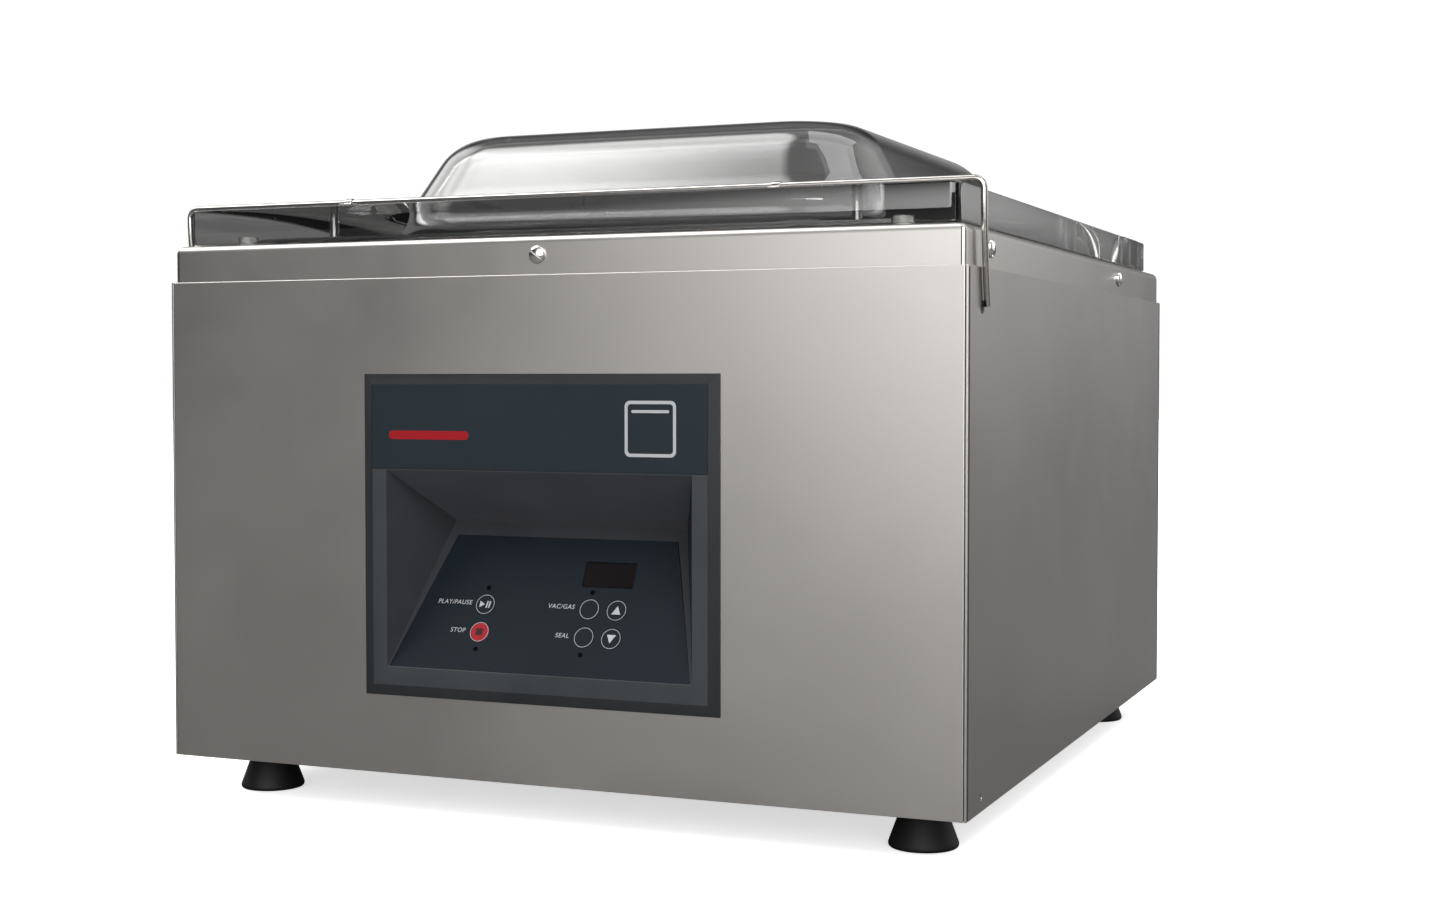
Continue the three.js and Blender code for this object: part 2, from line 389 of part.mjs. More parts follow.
for (const [n, s] of [['left', -1], ['right', 1]]) {
  // low clip over the wire: a foot on the slab in front and behind, and a bridge across
  const x = s * 150;
  add(`wire_clip_${n}`, geo(cut(union(box(x - 3.5, x + 3.5, WIRE.y - 9, WIRE.y + 9, SLAB.z1 + GAP, SLAB.z1 + 1.3), box(x - 3.5, x + 3.5, WIRE.y - 3.6, WIRE.y + 3.6, SLAB.z1 + GAP, WIRE.z + 3.2)),
    cyl(2.45, 2.45, x - 8, x + 8, 'x', WIRE.y, WIRE.z, 14), box(x - 8, x + 8, WIRE.y - 2.4, WIRE.y + 2.4, SLAB.z1 - 1, WIRE.z))), 'alu');
}
{
  const r = 6, pts = [];
  const leg = s => {
    const out = [];
    out.push([s * WIRE.x, WIRE.tipY, WIRE.tipZ], [s * WIRE.x, WIRE.tipY - 3.6, WIRE.tipZ + 36], [s * WIRE.x, WIRE.y + 0.6, WIRE.z - r - 4], [s * WIRE.x, WIRE.y + 0.1, WIRE.z - r]);
    for (const a of [30, 60]) { const t = a * Math.PI / 180; out.push([s * (WIRE.x - r + r * Math.cos(t)), WIRE.y, WIRE.z - r + r * Math.sin(t)]); }
    out.push([s * (WIRE.x - r), WIRE.y, WIRE.z]);
    return out;
  };
  const L = leg(-1), R = leg(1).reverse();
  const path = [...L, [-260, WIRE.y, WIRE.z], [-100, WIRE.y, WIRE.z], [100, WIRE.y, WIRE.z], [260, WIRE.y, WIRE.z], ...R];
  // straight between points: a polyline path so that the rod keeps its own line
  const cp = new THREE.CurvePath();
  const V = path.map(p => new THREE.Vector3(...p));
  const rings = [];
  for (let i = 0; i < V.length; i++) {
    const a = V[Math.max(0, i - 1)], b = V[Math.min(V.length - 1, i + 1)];
    const t = b.clone().sub(a).normalize();
    const up = new THREE.Vector3(0, 1, 0);
    const e1 = up.clone().sub(t.clone().multiplyScalar(up.dot(t))).normalize();
    const e2 = t.clone().cross(e1);
    const ring = [];
    for (let k = 0; k < 12; k++) { const q = k * Math.PI / 6; const p = V[i].clone().addScaledVector(e1, WIRE.r * Math.cos(q)).addScaledVector(e2, WIRE.r * Math.sin(q)); ring.push([p.x, p.y, p.z]); }
    rings.push(ring);
  }
  add('lid_wire', loft(rings), 'bright');
}

export default group;
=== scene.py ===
import json
import math

import bmesh
import bpy
from mathutils import Matrix, Vector


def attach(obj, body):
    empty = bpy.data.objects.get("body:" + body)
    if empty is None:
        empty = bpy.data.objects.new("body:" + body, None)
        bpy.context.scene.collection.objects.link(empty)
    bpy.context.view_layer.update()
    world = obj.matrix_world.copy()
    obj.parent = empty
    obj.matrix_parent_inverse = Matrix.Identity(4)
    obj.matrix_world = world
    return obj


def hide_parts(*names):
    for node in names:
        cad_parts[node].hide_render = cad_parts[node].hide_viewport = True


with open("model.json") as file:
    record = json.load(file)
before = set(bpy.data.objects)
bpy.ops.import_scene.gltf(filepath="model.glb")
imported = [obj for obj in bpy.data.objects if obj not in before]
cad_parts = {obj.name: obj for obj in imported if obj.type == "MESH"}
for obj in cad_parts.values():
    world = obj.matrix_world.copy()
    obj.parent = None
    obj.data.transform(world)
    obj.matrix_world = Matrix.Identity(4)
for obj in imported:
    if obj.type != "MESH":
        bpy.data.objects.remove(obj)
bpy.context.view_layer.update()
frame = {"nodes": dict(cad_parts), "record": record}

MM = 0.001
nodes = frame["nodes"]
body_of = {n: b for b, ns in frame["record"]["behaviour"]["bodies"].items() for n in ns}

# ------------------------------------------------------------------ shared sizes (mm)
CX, CY, CASE_TOP, FOOT_H = 275.0, 299.4, 345.75, 28.0
SX, SY, DECK, SKIRT_BOT = 273.0, 297.0, 370.0, 331.0
CH = dict(x=233.0, y0=-252.0, y1=222.0, r=26.0, floor=277.2)
BAR_Y = -228.0
PADS = (("front_left", -229, -274), ("front_right", 229, -274), ("rear_left", -250, 247), ("rear_right", 250, 247))
RING = dict(x=247.0, y0=-266.0, y1=236.0, r=40.0, w=9.6)
SLAB = dict(x=266.7, y0=-290.0, y1=275.0, z0=371.2, z1=394.3)
DOME = dict(x=188.3, y0=-193.7, y1=200.2, r=67.0, inset=34.1, h=59.4, rt=38.2, wall=8.0)
BEZ = dict(x=123.5, z0=78.65, z1=284.4, face=-302.4, back=-299.7, flat=116.4)
FOIL = dict(b=104.6, t=78.3, yb=-301.2, zb=97.9, yt=-259.9, zt=179.7)
AXLE = (287.0, 387.0)
WIRE = dict(r=2.0, x=277.4, y=-275.0, z=396.6, tipY=-266.6, tipZ=323.0)


# ------------------------------------------------------------------ materials
def srgb(r, g, b):
    def f(c):
        c /= 255.0
        return c / 12.92 if c <= 0.04045 else ((c + 0.055) / 1.055) ** 2.4
    return (f(r), f(g), f(b), 1.0)


def mat(name, color, metallic=0.0, rough=0.5, **kw):
    m = bpy.data.materials.new(name)
    m.use_nodes = True
    p = m.node_tree.nodes["Principled BSDF"]
    p.inputs["Base Color"].default_value = color
    p.inputs["Metallic"].default_value = metallic
    p.inputs["Roughness"].default_value = rough
    for k, v in kw.items():
        p.inputs[k.replace("_", " ")].default_value = v
    return m, m.node_tree, p


def coords(nt, scale=(1, 1, 1), kind="Object"):
    tc = nt.nodes.new("ShaderNodeTexCoord")
    mp = nt.nodes.new("ShaderNodeMapping")
    mp.inputs["Scale"].default_value = scale
    nt.links.new(tc.outputs[kind], mp.inputs["Vector"])
    return mp.outputs["Vector"]


def noise(nt, vec, scale, detail=4, rough=0.55, dist=0.0):
    n = nt.nodes.new("ShaderNodeTexNoise")
    n.inputs["Scale"].default_value = scale
    n.inputs["Detail"].default_value = detail
    n.inputs["Roughness"].default_value = rough
    n.inputs["Distortion"].default_value = dist
    nt.links.new(vec, n.inputs["Vector"])
    return n.outputs["Fac"]


def ramp(nt, fac, lo, hi, a=0.3, b=0.7):
    r = nt.nodes.new("ShaderNodeMapRange")
    r.inputs["From Min"].default_value = a
    r.inputs["From Max"].default_value = b
    r.inputs["To Min"].default_value = lo
    r.inputs["To Max"].default_value = hi
    nt.links.new(fac, r.inputs["Value"])
    return r.outputs["Result"]


def color_ramp(nt, fac, stops):
    c = nt.nodes.new("ShaderNodeValToRGB")
    e = c.color_ramp.elements
    while len(e) < len(stops):
        e.new(0.5)
    for i, (pos, col) in enumerate(stops):
        e[i].position = pos
        e[i].color = col
    nt.links.new(fac, c.inputs["Fac"])
    return c.outputs["Color"]


def bump(nt, height, p, strength=0.1, distance=0.0002):
    b = nt.nodes.new("ShaderNodeBump")
    b.inputs["Strength"].default_value = strength
    b.inputs["Distance"].default_value = distance
    nt.links.new(height, b.inputs["Height"])
    nt.links.new(b.outputs["Normal"], p.inputs["Normal"])


def brushed(name, tint, grain=(1, 1, 1), rough=(0.27, 0.4), fine=900, wear=0.06, aniso=0.0, strength=0.08):
    """Rolled stainless: long fine scratches along the grain, soft cloudy variation, faint finger marks."""
    m, nt, p = mat(name, tint, 1.0, 0.33)
    p.inputs["Anisotropic"].default_value = aniso
    v = coords(nt, grain)
    s = noise(nt, v, fine, 3, 0.6)
    cloud = noise(nt, coords(nt, (1, 1, 1)), 6.0, 5, 0.6, 0.4)
    smear = noise(nt, coords(nt, (1, 1, 1)), 23.0, 3, 0.5, 1.2)
    mix = nt.nodes.new("ShaderNodeMath"); mix.operation = "MULTIPLY_ADD"
    nt.links.new(s, mix.inputs[0]); mix.inputs[1].default_value = 0.10
    nt.links.new(cloud, mix.inputs[2])
    add = nt.nodes.new("ShaderNodeMath"); add.operation = "MULTIPLY_ADD"
    nt.links.new(smear, add.inputs[0]); add.inputs[1].default_value = 0.25
    nt.links.new(mix.outputs[0], add.inputs[2])
    nt.links.new(ramp(nt, add.outputs[0], rough[0], rough[1], 0.45, 0.9), p.inputs["Roughness"])
    lo = tuple(c * (1 - wear) for c in tint[:3]) + (1,)
    hi = tuple(min(1, c * (1 + wear)) for c in tint[:3]) + (1,)
    nt.links.new(color_ramp(nt, s if strength > 0.05 else cloud, [(0.3, lo), (0.7, hi)]), p.inputs["Base Color"])
    if strength > 0.05:
        bump(nt, s, p, strength, 0.0001)
    return m


STEEL = (0.40, 0.387, 0.375, 1)
M_front = brushed("stainless_front", STEEL, (0.02, 1, 1), (0.285, 0.35), wear=0.006, strength=0.004)
M_side = brushed("stainless_side", STEEL, (1, 0.02, 1), (0.285, 0.35), wear=0.006, strength=0.004)
M_deck = brushed("stainless_deck", STEEL, (0.02, 1, 1), (0.285, 0.345), wear=0.006, strength=0.004)
M_tub = brushed("stainless_tub", (0.46, 0.45, 0.44, 1), (1, 1, 1), (0.285, 0.38), fine=1400, wear=0.03)


def plain_metal(name, tint, rough, spread=0.08, scale=140, strength=0.03):
    m, nt, p = mat(name, tint, 1.0, rough)
    n = noise(nt, coords(nt), scale, 4, 0.6)
    nt.links.new(ramp(nt, n, max(0.02, rough - spread), rough + spread), p.inputs["Roughness"])
    lo = tuple(c * 0.93 for c in tint[:3]) + (1,)
    nt.links.new(color_ramp(nt, noise(nt, coords(nt), 9, 4), [(0.3, lo), (0.7, tint)]), p.inputs["Base Color"])
    bump(nt, n, p, strength, 0.00005)
    return m


M_screw = plain_metal("screw_steel", (0.72, 0.71, 0.70, 1), 0.16, 0.06)
M_wire = plain_metal("spring_wire", (0.42, 0.405, 0.39, 1), 0.20, 0.05, 420)
M_alu = plain_metal("aluminium", (0.62, 0.63, 0.64, 1), 0.36, 0.07, 600, 0.08)
M_hinge = plain_metal("anodised_aluminium", (0.34, 0.345, 0.35, 1), 0.42, 0.08, 600, 0.08)
M_brass = plain_metal("brass", (0.62, 0.46, 0.20, 1), 0.36, 0.07)


def moulded(name, col, rough=0.5, grain=1500, strength=0.12, dist=0.00006, coat=0.0, spread=0.06, dirt=0.12, shine=0.5):
    """Moulded plastic or rubber: a fine spark-eroded texture and slight cloudiness."""
    m, nt, p = mat(name, col, 0.0, rough)
    p.inputs["Coat Weight"].default_value = coat
    p.inputs["Coat Roughness"].default_value = 0.08
    p.inputs["Specular IOR Level"].default_value = shine
    n = noise(nt, coords(nt), grain, 2, 0.5)
    c = noise(nt, coords(nt), 14, 4, 0.6)
    nt.links.new(ramp(nt, c, rough - spread, rough + spread), p.inputs["Roughness"])
    lo = tuple(x * (1 - dirt) for x in col[:3]) + (1,)
    hi = tuple(min(1, x * (1 + dirt)) for x in col[:3]) + (1,)
    nt.links.new(color_ramp(nt, c, [(0.3, lo), (0.7, hi)]), p.inputs["Base Color"])
    bump(nt, n, p, strength, dist)
    return m


M_bezel = moulded("bezel_plastic", srgb(45, 48, 51), 0.52, shine=0.2)
# darker copy of the bezel plastic, put on its chamfers as painted shade
M_chamfer_painted_shade = moulded("bezel_chamfer_painted_shade", srgb(31, 32, 34), 0.5, shine=0.15)
# copies of the bezel plastic for its recess: a darker one as painted shade, a lighter one on the downward faces as
# painted light
M_recess_painted_shade = moulded("recess_painted_shade", srgb(40, 41, 44), 0.55, shine=0.12)
M_recess_ceiling_painted_light = moulded("recess_ceiling_painted_light", srgb(72, 73, 78), 0.6, shine=0.1)
M_label = moulded("label_film", srgb(23, 31, 37), 0.47, 2600, 0.04, 0.00002, dirt=0.05, shine=0.16)
M_foil = moulded("keypad_film", srgb(11, 19, 25), 0.5, 2600, 0.04, 0.00002, dirt=0.05, shine=0.12)
M_red = moulded("stop_film", srgb(122, 3, 15), 0.45, 2600, 0.05, 0.00003, dirt=0.05, shine=0.25)
M_darkred = moulded("stop_square", srgb(38, 3, 8), 0.42, 2600, 0.05, 0.00003, dirt=0.05, shine=0.25)
M_white = moulded("legend_white", srgb(142, 145, 148), 0.5, 2600, 0.03, 0.00002, dirt=0.03, shine=0.3)
M_ring = moulded("ring_grey", srgb(122, 128, 134), 0.42, 2600, 0.03, 0.00002, dirt=0.03)
M_window = moulded("display_window", srgb(8, 5, 6), 0.26, 800, 0.01, 0.00001, spread=0.02, dirt=0.05, shine=0.1)
M_led = moulded("led_dark", srgb(2, 2, 2), 0.6, 800, 0.01, 0.00001, spread=0.02, shine=0.03)
M_foot = moulded("foot_rubber", srgb(16, 16, 17), 0.58, 900, 0.2, 0.00008, shine=0.25)
M_gasket = moulded("gasket_rubber", srgb(64, 64, 65), 0.5, 1200, 0.1, 0.00006)
M_hose = moulded("hose_rubber", srgb(34, 34, 36), 0.5, 700, 0.15, 0.0001)
M_sili = moulded("silicone", srgb(142, 48, 38), 0.5, 900, 0.08, 0.00006)
M_pad = moulded("pad_plastic", srgb(240, 240, 236), 0.3, 900, 0.05, 0.00004)
M_tape = moulded("coated_tape", srgb(176, 150, 112), 0.42, 2200, 0.3, 0.00006)
M_pump = moulded("pump_paint", srgb(86, 98, 106), 0.36, 500, 0.25, 0.00015, coat=0.25)
M_iron = moulded("transformer_iron", srgb(62, 60, 58), 0.5, 300, 0.2, 0.0001)
M_coil = moulded("winding", srgb(150, 84, 40), 0.38, 500, 0.3, 0.0002)
M_board = moulded("circuit_board", srgb(24, 92, 52), 0.4, 900, 0.1, 0.00006)
M_black = moulded("black_plastic", srgb(24, 24, 25), 0.42, 1500, 0.12, 0.00006)
# near-black, used only as painted shade inside the corner joints
M_joint_painted_shade = moulded("joint_painted_shade", srgb(8, 8, 8), 0.8, 300, 0.05)


def acrylic():
    """Polished clear acrylic, lightly smoke tinted by its thickness: little bending of what is behind, strong surface gloss."""
    m, nt, p = mat("clear_acrylic", (0.44, 0.44, 0.44, 1), 0.0, 0.01)
    p.inputs["Transmission Weight"].default_value = 1.0
    p.inputs["IOR"].default_value = 1.12
    p.inputs["Coat Weight"].default_value = 1.0
    p.inputs["Coat IOR"].default_value = 1.75
    p.inputs["Coat Roughness"].default_value = 0.0
    n = noise(nt, coords(nt), 3.0, 3, 0.5)
    nt.links.new(ramp(nt, n, 0.0, 0.003), p.inputs["Roughness"])
    nt.links.new(color_ramp(nt, n, [(0.3, (0.43, 0.43, 0.43, 1)), (0.7, (0.46, 0.46, 0.46, 1))]), p.inputs["Base Color"])
    return m


M_clear = acrylic()


# ------------------------------------------------------------------ mesh helpers
def finish_mesh(name, bm, material, body, replaces=(), smooth=35, bevel=None, scale=MM, weighted=True):
    bmesh.ops.recalc_face_normals(bm, faces=bm.faces)
    if scale != 1:
        bmesh.ops.scale(bm, vec=(scale,) * 3, verts=bm.verts)
    me = bpy.data.meshes.new(name)
    bm.to_mesh(me)
    bm.free()
    me.polygons.foreach_set("use_smooth", [True] * len(me.polygons))
    me.set_sharp_from_angle(angle=math.radians(smooth))
    ob = bpy.data.objects.new(name, me)
    bpy.context.scene.collection.objects.link(ob)
    me.materials.append(material)
    if bevel:
        b = ob.modifiers.new("bevel", "BEVEL")
        b.width = bevel[0] * MM
        b.segments = bevel[1]
        b.limit_method = "ANGLE"
        b.angle_limit = math.radians(bevel[2] if len(bevel) > 2 else 30)
        b.use_clamp_overlap = True
        b.harden_normals = False
        if weighted:
            w = ob.modifiers.new("weighted", "WEIGHTED_NORMAL")
            w.keep_sharp = True
            w.weight = 60
            me.set_sharp_from_angle(angle=math.radians(180))
    if replaces:
        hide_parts(*replaces)
    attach(ob, body)
    return ob


def from_node(node, material, bevel=(0.5, 2), name=None, smooth=35, body=None):
    """A finished copy of a CAD piece: flat faces joined, its edges broken."""
    bm = bmesh.new()
    bm.from_mesh(nodes[node].data)
    bmesh.ops.remove_doubles(bm, verts=bm.verts, dist=1e-6)
    bmesh.ops.dissolve_limit(bm, angle_limit=math.radians(0.6), verts=bm.verts, edges=bm.edges)
    ob = finish_mesh(name or node + "_skin", bm, material, body or body_of[node], (node,), smooth, bevel, scale=1)
    return ob


def rr(x0, x1, y0, y1, r, z, n=12):
    out = []
    for cx, cy, a0 in ((x1 - r, y1 - r, 0), (x0 + r, y1 - r, 90), (x0 + r, y0 + r, 180), (x1 - r, y0 + r, 270)):
        for i in range(n + 1):
            a = math.radians(a0 + 90.0 * i / n)
            out.append((cx + r * math.cos(a), cy + r * math.sin(a), z))
    return out


def loft(bm, rings, closed=False, cap=True):
    vs = [[bm.verts.new(p) for p in r] for r in rings]
    n, m = len(rings[0]), len(rings)
    for k in range(m if closed else m - 1):
        a, b = vs[k], vs[(k + 1) % m]
        for i in range(n):
            j = (i + 1) % n
            bm.faces.new((a[i], a[j], b[j], b[i]))
    if cap and not closed:
        bm.faces.new(vs[0][::-1])
        bm.faces.new(vs[-1])
    return vs


def lathe(bm, prof, seg=48, place=Matrix.Identity(4)):
    """prof: (r, h) pairs; starts and ends on the axis."""
    rings = []
    for r, h in prof:
        if r < 1e-6:
            rings.append([bm.verts.new(place @ Vector((0, 0, h)))])
        else:
            rings.append([bm.verts.new(place @ Vector((r * math.cos(2 * math.pi * i / seg), r * math.sin(2 * math.pi * i / seg), h))) for i in range(seg)])
    for a, b in zip(rings, rings[1:]):
        for i in range(seg):
            j = (i + 1) % seg
            if len(a) == 1 and len(b) == 1:
                continue
            if len(a) == 1:
                bm.faces.new((a[0], b[j], b[i]))
            elif len(b) == 1:
                bm.faces.new((a[i], a[j], b[0]))
            else:
                bm.faces.new((a[i], a[j], b[j], b[i]))


def ring_band(bm, r0, r1, h0, h1, place, seg=64):
    vs = []
    for r, h in ((r0, h0), (r1, h0), (r1, h1), (r0, h1)):
        vs.append([bm.verts.new(place @ Vector((r * math.cos(2 * math.pi * i / seg), r * math.sin(2 * math.pi * i / seg), h))) for i in range(seg)])
    for k in range(4):
        a, b = vs[k], vs[(k + 1) % 4]
        for i in range(seg):
            j = (i + 1) % seg
            bm.faces.new((a[i], a[j], b[j], b[i]))


def prism(bm, pts, h0, h1, place):
    a = [bm.verts.new(place @ Vector((x, y, h0))) for x, y in pts]
    b = [bm.verts.new(place @ Vector((x, y, h1))) for x, y in pts]
    bm.faces.new(a[::-1])
    bm.faces.new(b)
    n = len(pts)
    for i in range(n):
        j = (i + 1) % n
        bm.faces.new((a[i], a[j], b[j], b[i]))


def bx(bm, x0, x1, y0, y1, z0, z1):
    prism(bm, [(x0, y0), (x1, y0), (x1, y1), (x0, y1)], z0, z1, Matrix.Identity(4))


def sweep(bm, path, r, seg=24, caps=True):
    V = [Vector(p) for p in path]
    rings = []
    for i, p in enumerate(V):
        t = (V[min(i + 1, len(V) - 1)] - V[max(i - 1, 0)]).normalized()
        up = Vector((0, 1, 0))
        if abs(t.dot(up)) > 0.95:
            up = Vector((0, 0, 1))
        e1 = (up - t * up.dot(t)).normalized()
        e2 = t.cross(e1)
        rings.append([tuple(p + e1 * (r * math.cos(2 * math.pi * k / seg)) + e2 * (r * math.sin(2 * math.pi * k / seg))) for k in range(seg)])
    loft(bm, rings, cap=caps)


def cutter(bm_fn, name="cut"):
    bm = bmesh.new()
    bm_fn(bm)
    bmesh.ops.recalc_face_normals(bm, faces=bm.faces)
    bmesh.ops.scale(bm, vec=(MM,) * 3, verts=bm.verts)
    me = bpy.data.meshes.new(name)
    bm.to_mesh(me)
    bm.free()
    ob = bpy.data.objects.new(name, me)
    bpy.context.scene.collection.objects.link(ob)
    return ob


def carve(ob, cut_fn):
    """Cuts a shape out of ob's mesh and keeps the result in the mesh."""
    c = cutter(cut_fn)
    mods = [(m.name, m.show_viewport) for m in ob.modifiers]
    for m in ob.modifiers:
        m.show_viewport = False
    b = ob.modifiers.new("cut", "BOOLEAN")
    b.operation = "DIFFERENCE"
    b.solver = "EXACT"
    b.object = c
    bpy.context.view_layer.update()
    me = bpy.data.meshes.new_from_object(ob.evaluated_get(bpy.context.evaluated_depsgraph_get()))
    ob.modifiers.remove(b)
    for n, v in mods:
        ob.modifiers[n].show_viewport = v
    old = ob.data
    ob.data = me
    bpy.data.meshes.remove(old)
    bpy.data.objects.remove(c)
    return ob


def axis_place(origin, z, x=None):
    z = Vector(z).normalized()
    x = Vector(x) if x else (Vector((1, 0, 0)) if abs(z.x) < 0.9 else Vector((0, 1, 0)))
    x = (x - z * x.dot(z)).normalized()
    y = z.cross(x)
    return Matrix(((x.x, y.x, z.x, origin[0]), (x.y, y.y, z.y, origin[1]), (x.z, y.z, z.z, origin[2]), (0, 0, 0, 1)))


# ------------------------------------------------------------------ casing sheet metal
for n, m in (("front_panel", M_front), ("side_panel_left", M_side), ("side_panel_right", M_side), ("rear_panel", M_front)):
    from_node(n, m, (0.7, 4))
from_node("base_pan", M_side, (0.5, 2))


def top_plate():
    n = 10
    rings = [rr(-SX, SX, -SY, SY, 2.5, SKIRT_BOT, n), rr(-SX, SX, -SY, SY, 2.5, DECK - 5, n)]
    for i in range(1, 9):
        a = math.radians(90 * i / 8)
        o = 4.6 * (1 - math.cos(a))
        rings.append(rr(-SX + o, SX - o, -SY + o, SY - o, 2.5, DECK - 5 + 5 * math.sin(a) if i < 8 else DECK, n))
    R = CH["r"]
    c = lambda d, z: rr(-CH["x"] - d, CH["x"] + d, CH["y0"] - d, CH["y1"] + d, R + d, z, n)
    rings += [c(1.2, DECK), c(0.35, DECK - 0.35), c(0.0, DECK - 1.5), rr(-SX + 5, SX - 5, -SY + 5, SY - 5, 2.5, DECK - 1.5, n),
              rr(-SX + 1.5, SX - 1.5, -SY + 1.5, SY - 1.5, 1.5, DECK - 5.2, n), rr(-SX + 1.5, SX - 1.5, -SY + 1.5, SY - 1.5, 1.5, SKIRT_BOT, n)]
    bm = bmesh.new()
    loft(bm, rings, closed=True)
    ob = finish_mesh("top_plate_skin", bm, M_deck, "casing", ("top_plate",), 40)

    def seams(b):
        for sx in (-1, 1):
            for sy in (-1, 1):
                x = sx * 270.3
                bx(b, x - 0.35, x + 0.35, sy * 297.6 - 1.6, sy * 297.6 + 1.6, SKIRT_BOT - 2, DECK - 2.6)
    carve(ob, seams)
    ob.data.polygons.foreach_set("use_smooth", [True] * len(ob.data.polygons))
    ob.data.set_sharp_from_angle(angle=math.radians(30))
    return ob


top_plate()


def corner_joints():
    """Black boxes inside the narrow joints at the casing corners, painted shade: in the skirt, and between front or
    rear panel and side.
    """
    bm = bmesh.new()
    for sx in (-1, 1):
        for sy in (-1, 1):
            x, y = sx * 270.3, sy * 296.6
            bx(bm, x - 0.34, x + 0.34, min(y, y - sy * 0.9), max(y, y - sy * 0.9), SKIRT_BOT + 0.5, DECK - 2.8)
            a, b = sy * (CY - 1.52), sy * (CY - 4.0)
            c, d = sx * (CX - 0.6), sx * (CX + 0.04)
            bx(bm, min(c, d), max(c, d), min(a, b), max(a, b), FOOT_H + 1.0, CASE_TOP - 1.2)
    finish_mesh("corner_joint_shadow", bm, M_joint_painted_shade, "casing", (), 40)


corner_joints()


def tub():
    f, w, z0 = DECK - 1.8, 1.5, CH["floor"]
    n = 14
    o = lambda d, r, z: rr(-CH["x"] - d, CH["x"] + d, CH["y0"] - d, CH["y1"] + d, max(r, 1), z, n)
    rings = []
    for i in range(7):   # outside, from the floor's underside round the bottom radius
        a = math.radians(90 * i / 6)
        rings.append(o(w - 12 * (1 - math.sin(a)), CH["r"] + w - 10 * (1 - math.sin(a)), z0 - w + 11.5 * (1 - math.cos(a))))
    rings += [o(w, CH["r"] + w, f - w), o(10, CH["r"] + 10, f - w), o(10, CH["r"] + 10, f)]
    for i in range(4):
        a = math.radians(90 * i / 3)
        rings.append(o(1.4 * (1 - math.sin(a)), CH["r"] + 1.4 * (1 - math.sin(a)), f - 1.4 * (1 - math.cos(a))))
    for i in range(7):
        a = math.radians(90 * i / 6)
        rings.append(o(-10.5 * (1 - math.cos(a)), CH["r"] - 9 * (1 - math.cos(a)), z0 + 10 * (1 - math.sin(a))))
    bm = bmesh.new()
    loft(bm, rings)
    ob = finish_mesh("chamber_tub_skin", bm, M_tub, "casing", ("chamber_tub",), 40)

    def holes(b):
        for x, y, r in ((-150, BAR_Y, 4.9), (150, BAR_Y, 4.9), (0, 120, 9), (0, -160, 3.6)):
            lathe(b, [(0, 268), (r, 268), (r, 292), (0, 292)], 40, Matrix.Translation((x, y, 0)))
    carve(ob, holes)
    # port grille on the chamber floor
    bm = bmesh.new()
    ring_band(bm, 8.4, 17, 0, 1.2, Matrix.Translation((0, 120, z0 + 0.3)))
    for i in range(3):
        a = i * math.pi / 3
        p = Matrix.Translation((0, 120, z0 + 0.35)) @ Matrix.Rotation(a, 4, "Z")
        prism(bm, [(-8.8, -0.7), (8.8, -0.7), (8.8, 0.7), (-8.8, 0.7)], 0.1 + i * 0.02, 0.9 + i * 0.02, p)
    finish_mesh("port_grille", bm, M_screw, "casing", (), 40, (0.2, 2))
    return ob


tub()

for n, s in (("foot_front_left", (-1, -1)), ("foot_front_right", (1, -1)), ("foot_rear_left", (-1, 1)), ("foot_rear_right", (1, 1))):
    bm = bmesh.new()
    prof = [(0, 1.2), (6.5, 1.2), (7.2, 0.0), (19.2, 0.0), (20.3, 0.25), (21.0, 0.8), (21.35, 1.7), (21.4, 2.6), (21.1, 3.6), (14.9, 20.4), (14.1, 22.2), (13.7, 23.3), (13.5, 24.4), (13.5, 27.3), (13.2, 27.7), (0, 27.7)]
    lathe(bm, prof, 64, Matrix.Translation((234 * s[0], 246.5 * s[1], 0)))
    finish_mesh(n + "_moulding", bm, M_foot, "casing", (n,), 32)


# ------------------------------------------------------------------ slotted domed screws
def dome_screw(name, origin, out, body, replaces=(), r=5.55, h=2.95, slot=True, turn=20.0, material=None):
    bm = bmesh.new()
    pl = axis_place(origin, out) @ Matrix.Rotation(math.radians(turn), 4, "Z")
    prof = [(0, 0), (r - 0.15, 0), (r, 0.2), (r, 0.75)]
    for i in range(1, 9):
        a = math.radians(90 * i / 8)
        prof.append((r * math.cos(a) if i < 8 else 0, 0.75 + (h - 0.75) * math.sin(a)))
    lathe(bm, prof, 48, pl)
    ob = finish_mesh(name, bm, material or M_screw, body, replaces, 40)
    if slot:
        def c(b):
            prism(b, [(-r * 2, -0.55), (r * 2, -0.55), (r * 2, 0.55), (-r * 2, 0.55)], h - 1.25, h + 3, pl)
        carve(ob, c)
        ob.data.polygons.foreach_set("use_smooth", [True] * len(ob.data.polygons))
        ob.data.set_sharp_from_angle(angle=math.radians(35))
    return ob


dome_screw("skirt_screw_front_head", (0, -SY - 0.1, 358), (0, -1, 0), "casing", ("skirt_screw_front",), turn=-35)
for side, s in (("left", -1), ("right", 1)):
    dome_screw(f"skirt_screw_{side}_front_head", (s * (SX + 0.1), -244.5, 358), (s, 0, 0), "casing", (f"skirt_screw_{side}_front",), turn=70)
    dome_screw(f"skirt_screw_{side}_rear_head", (s * (SX + 0.1), 133.7, 358), (s, 0, 0), "casing", (f"skirt_screw_{side}_rear",), turn=15)

# ------------------------------------------------------------------ console
bezel = from_node("control_bezel", M_bezel, (0.55, 3, 25))
for m in (M_chamfer_painted_shade, M_recess_painted_shade, M_recess_ceiling_painted_light):
    bezel.data.materials.append(m)
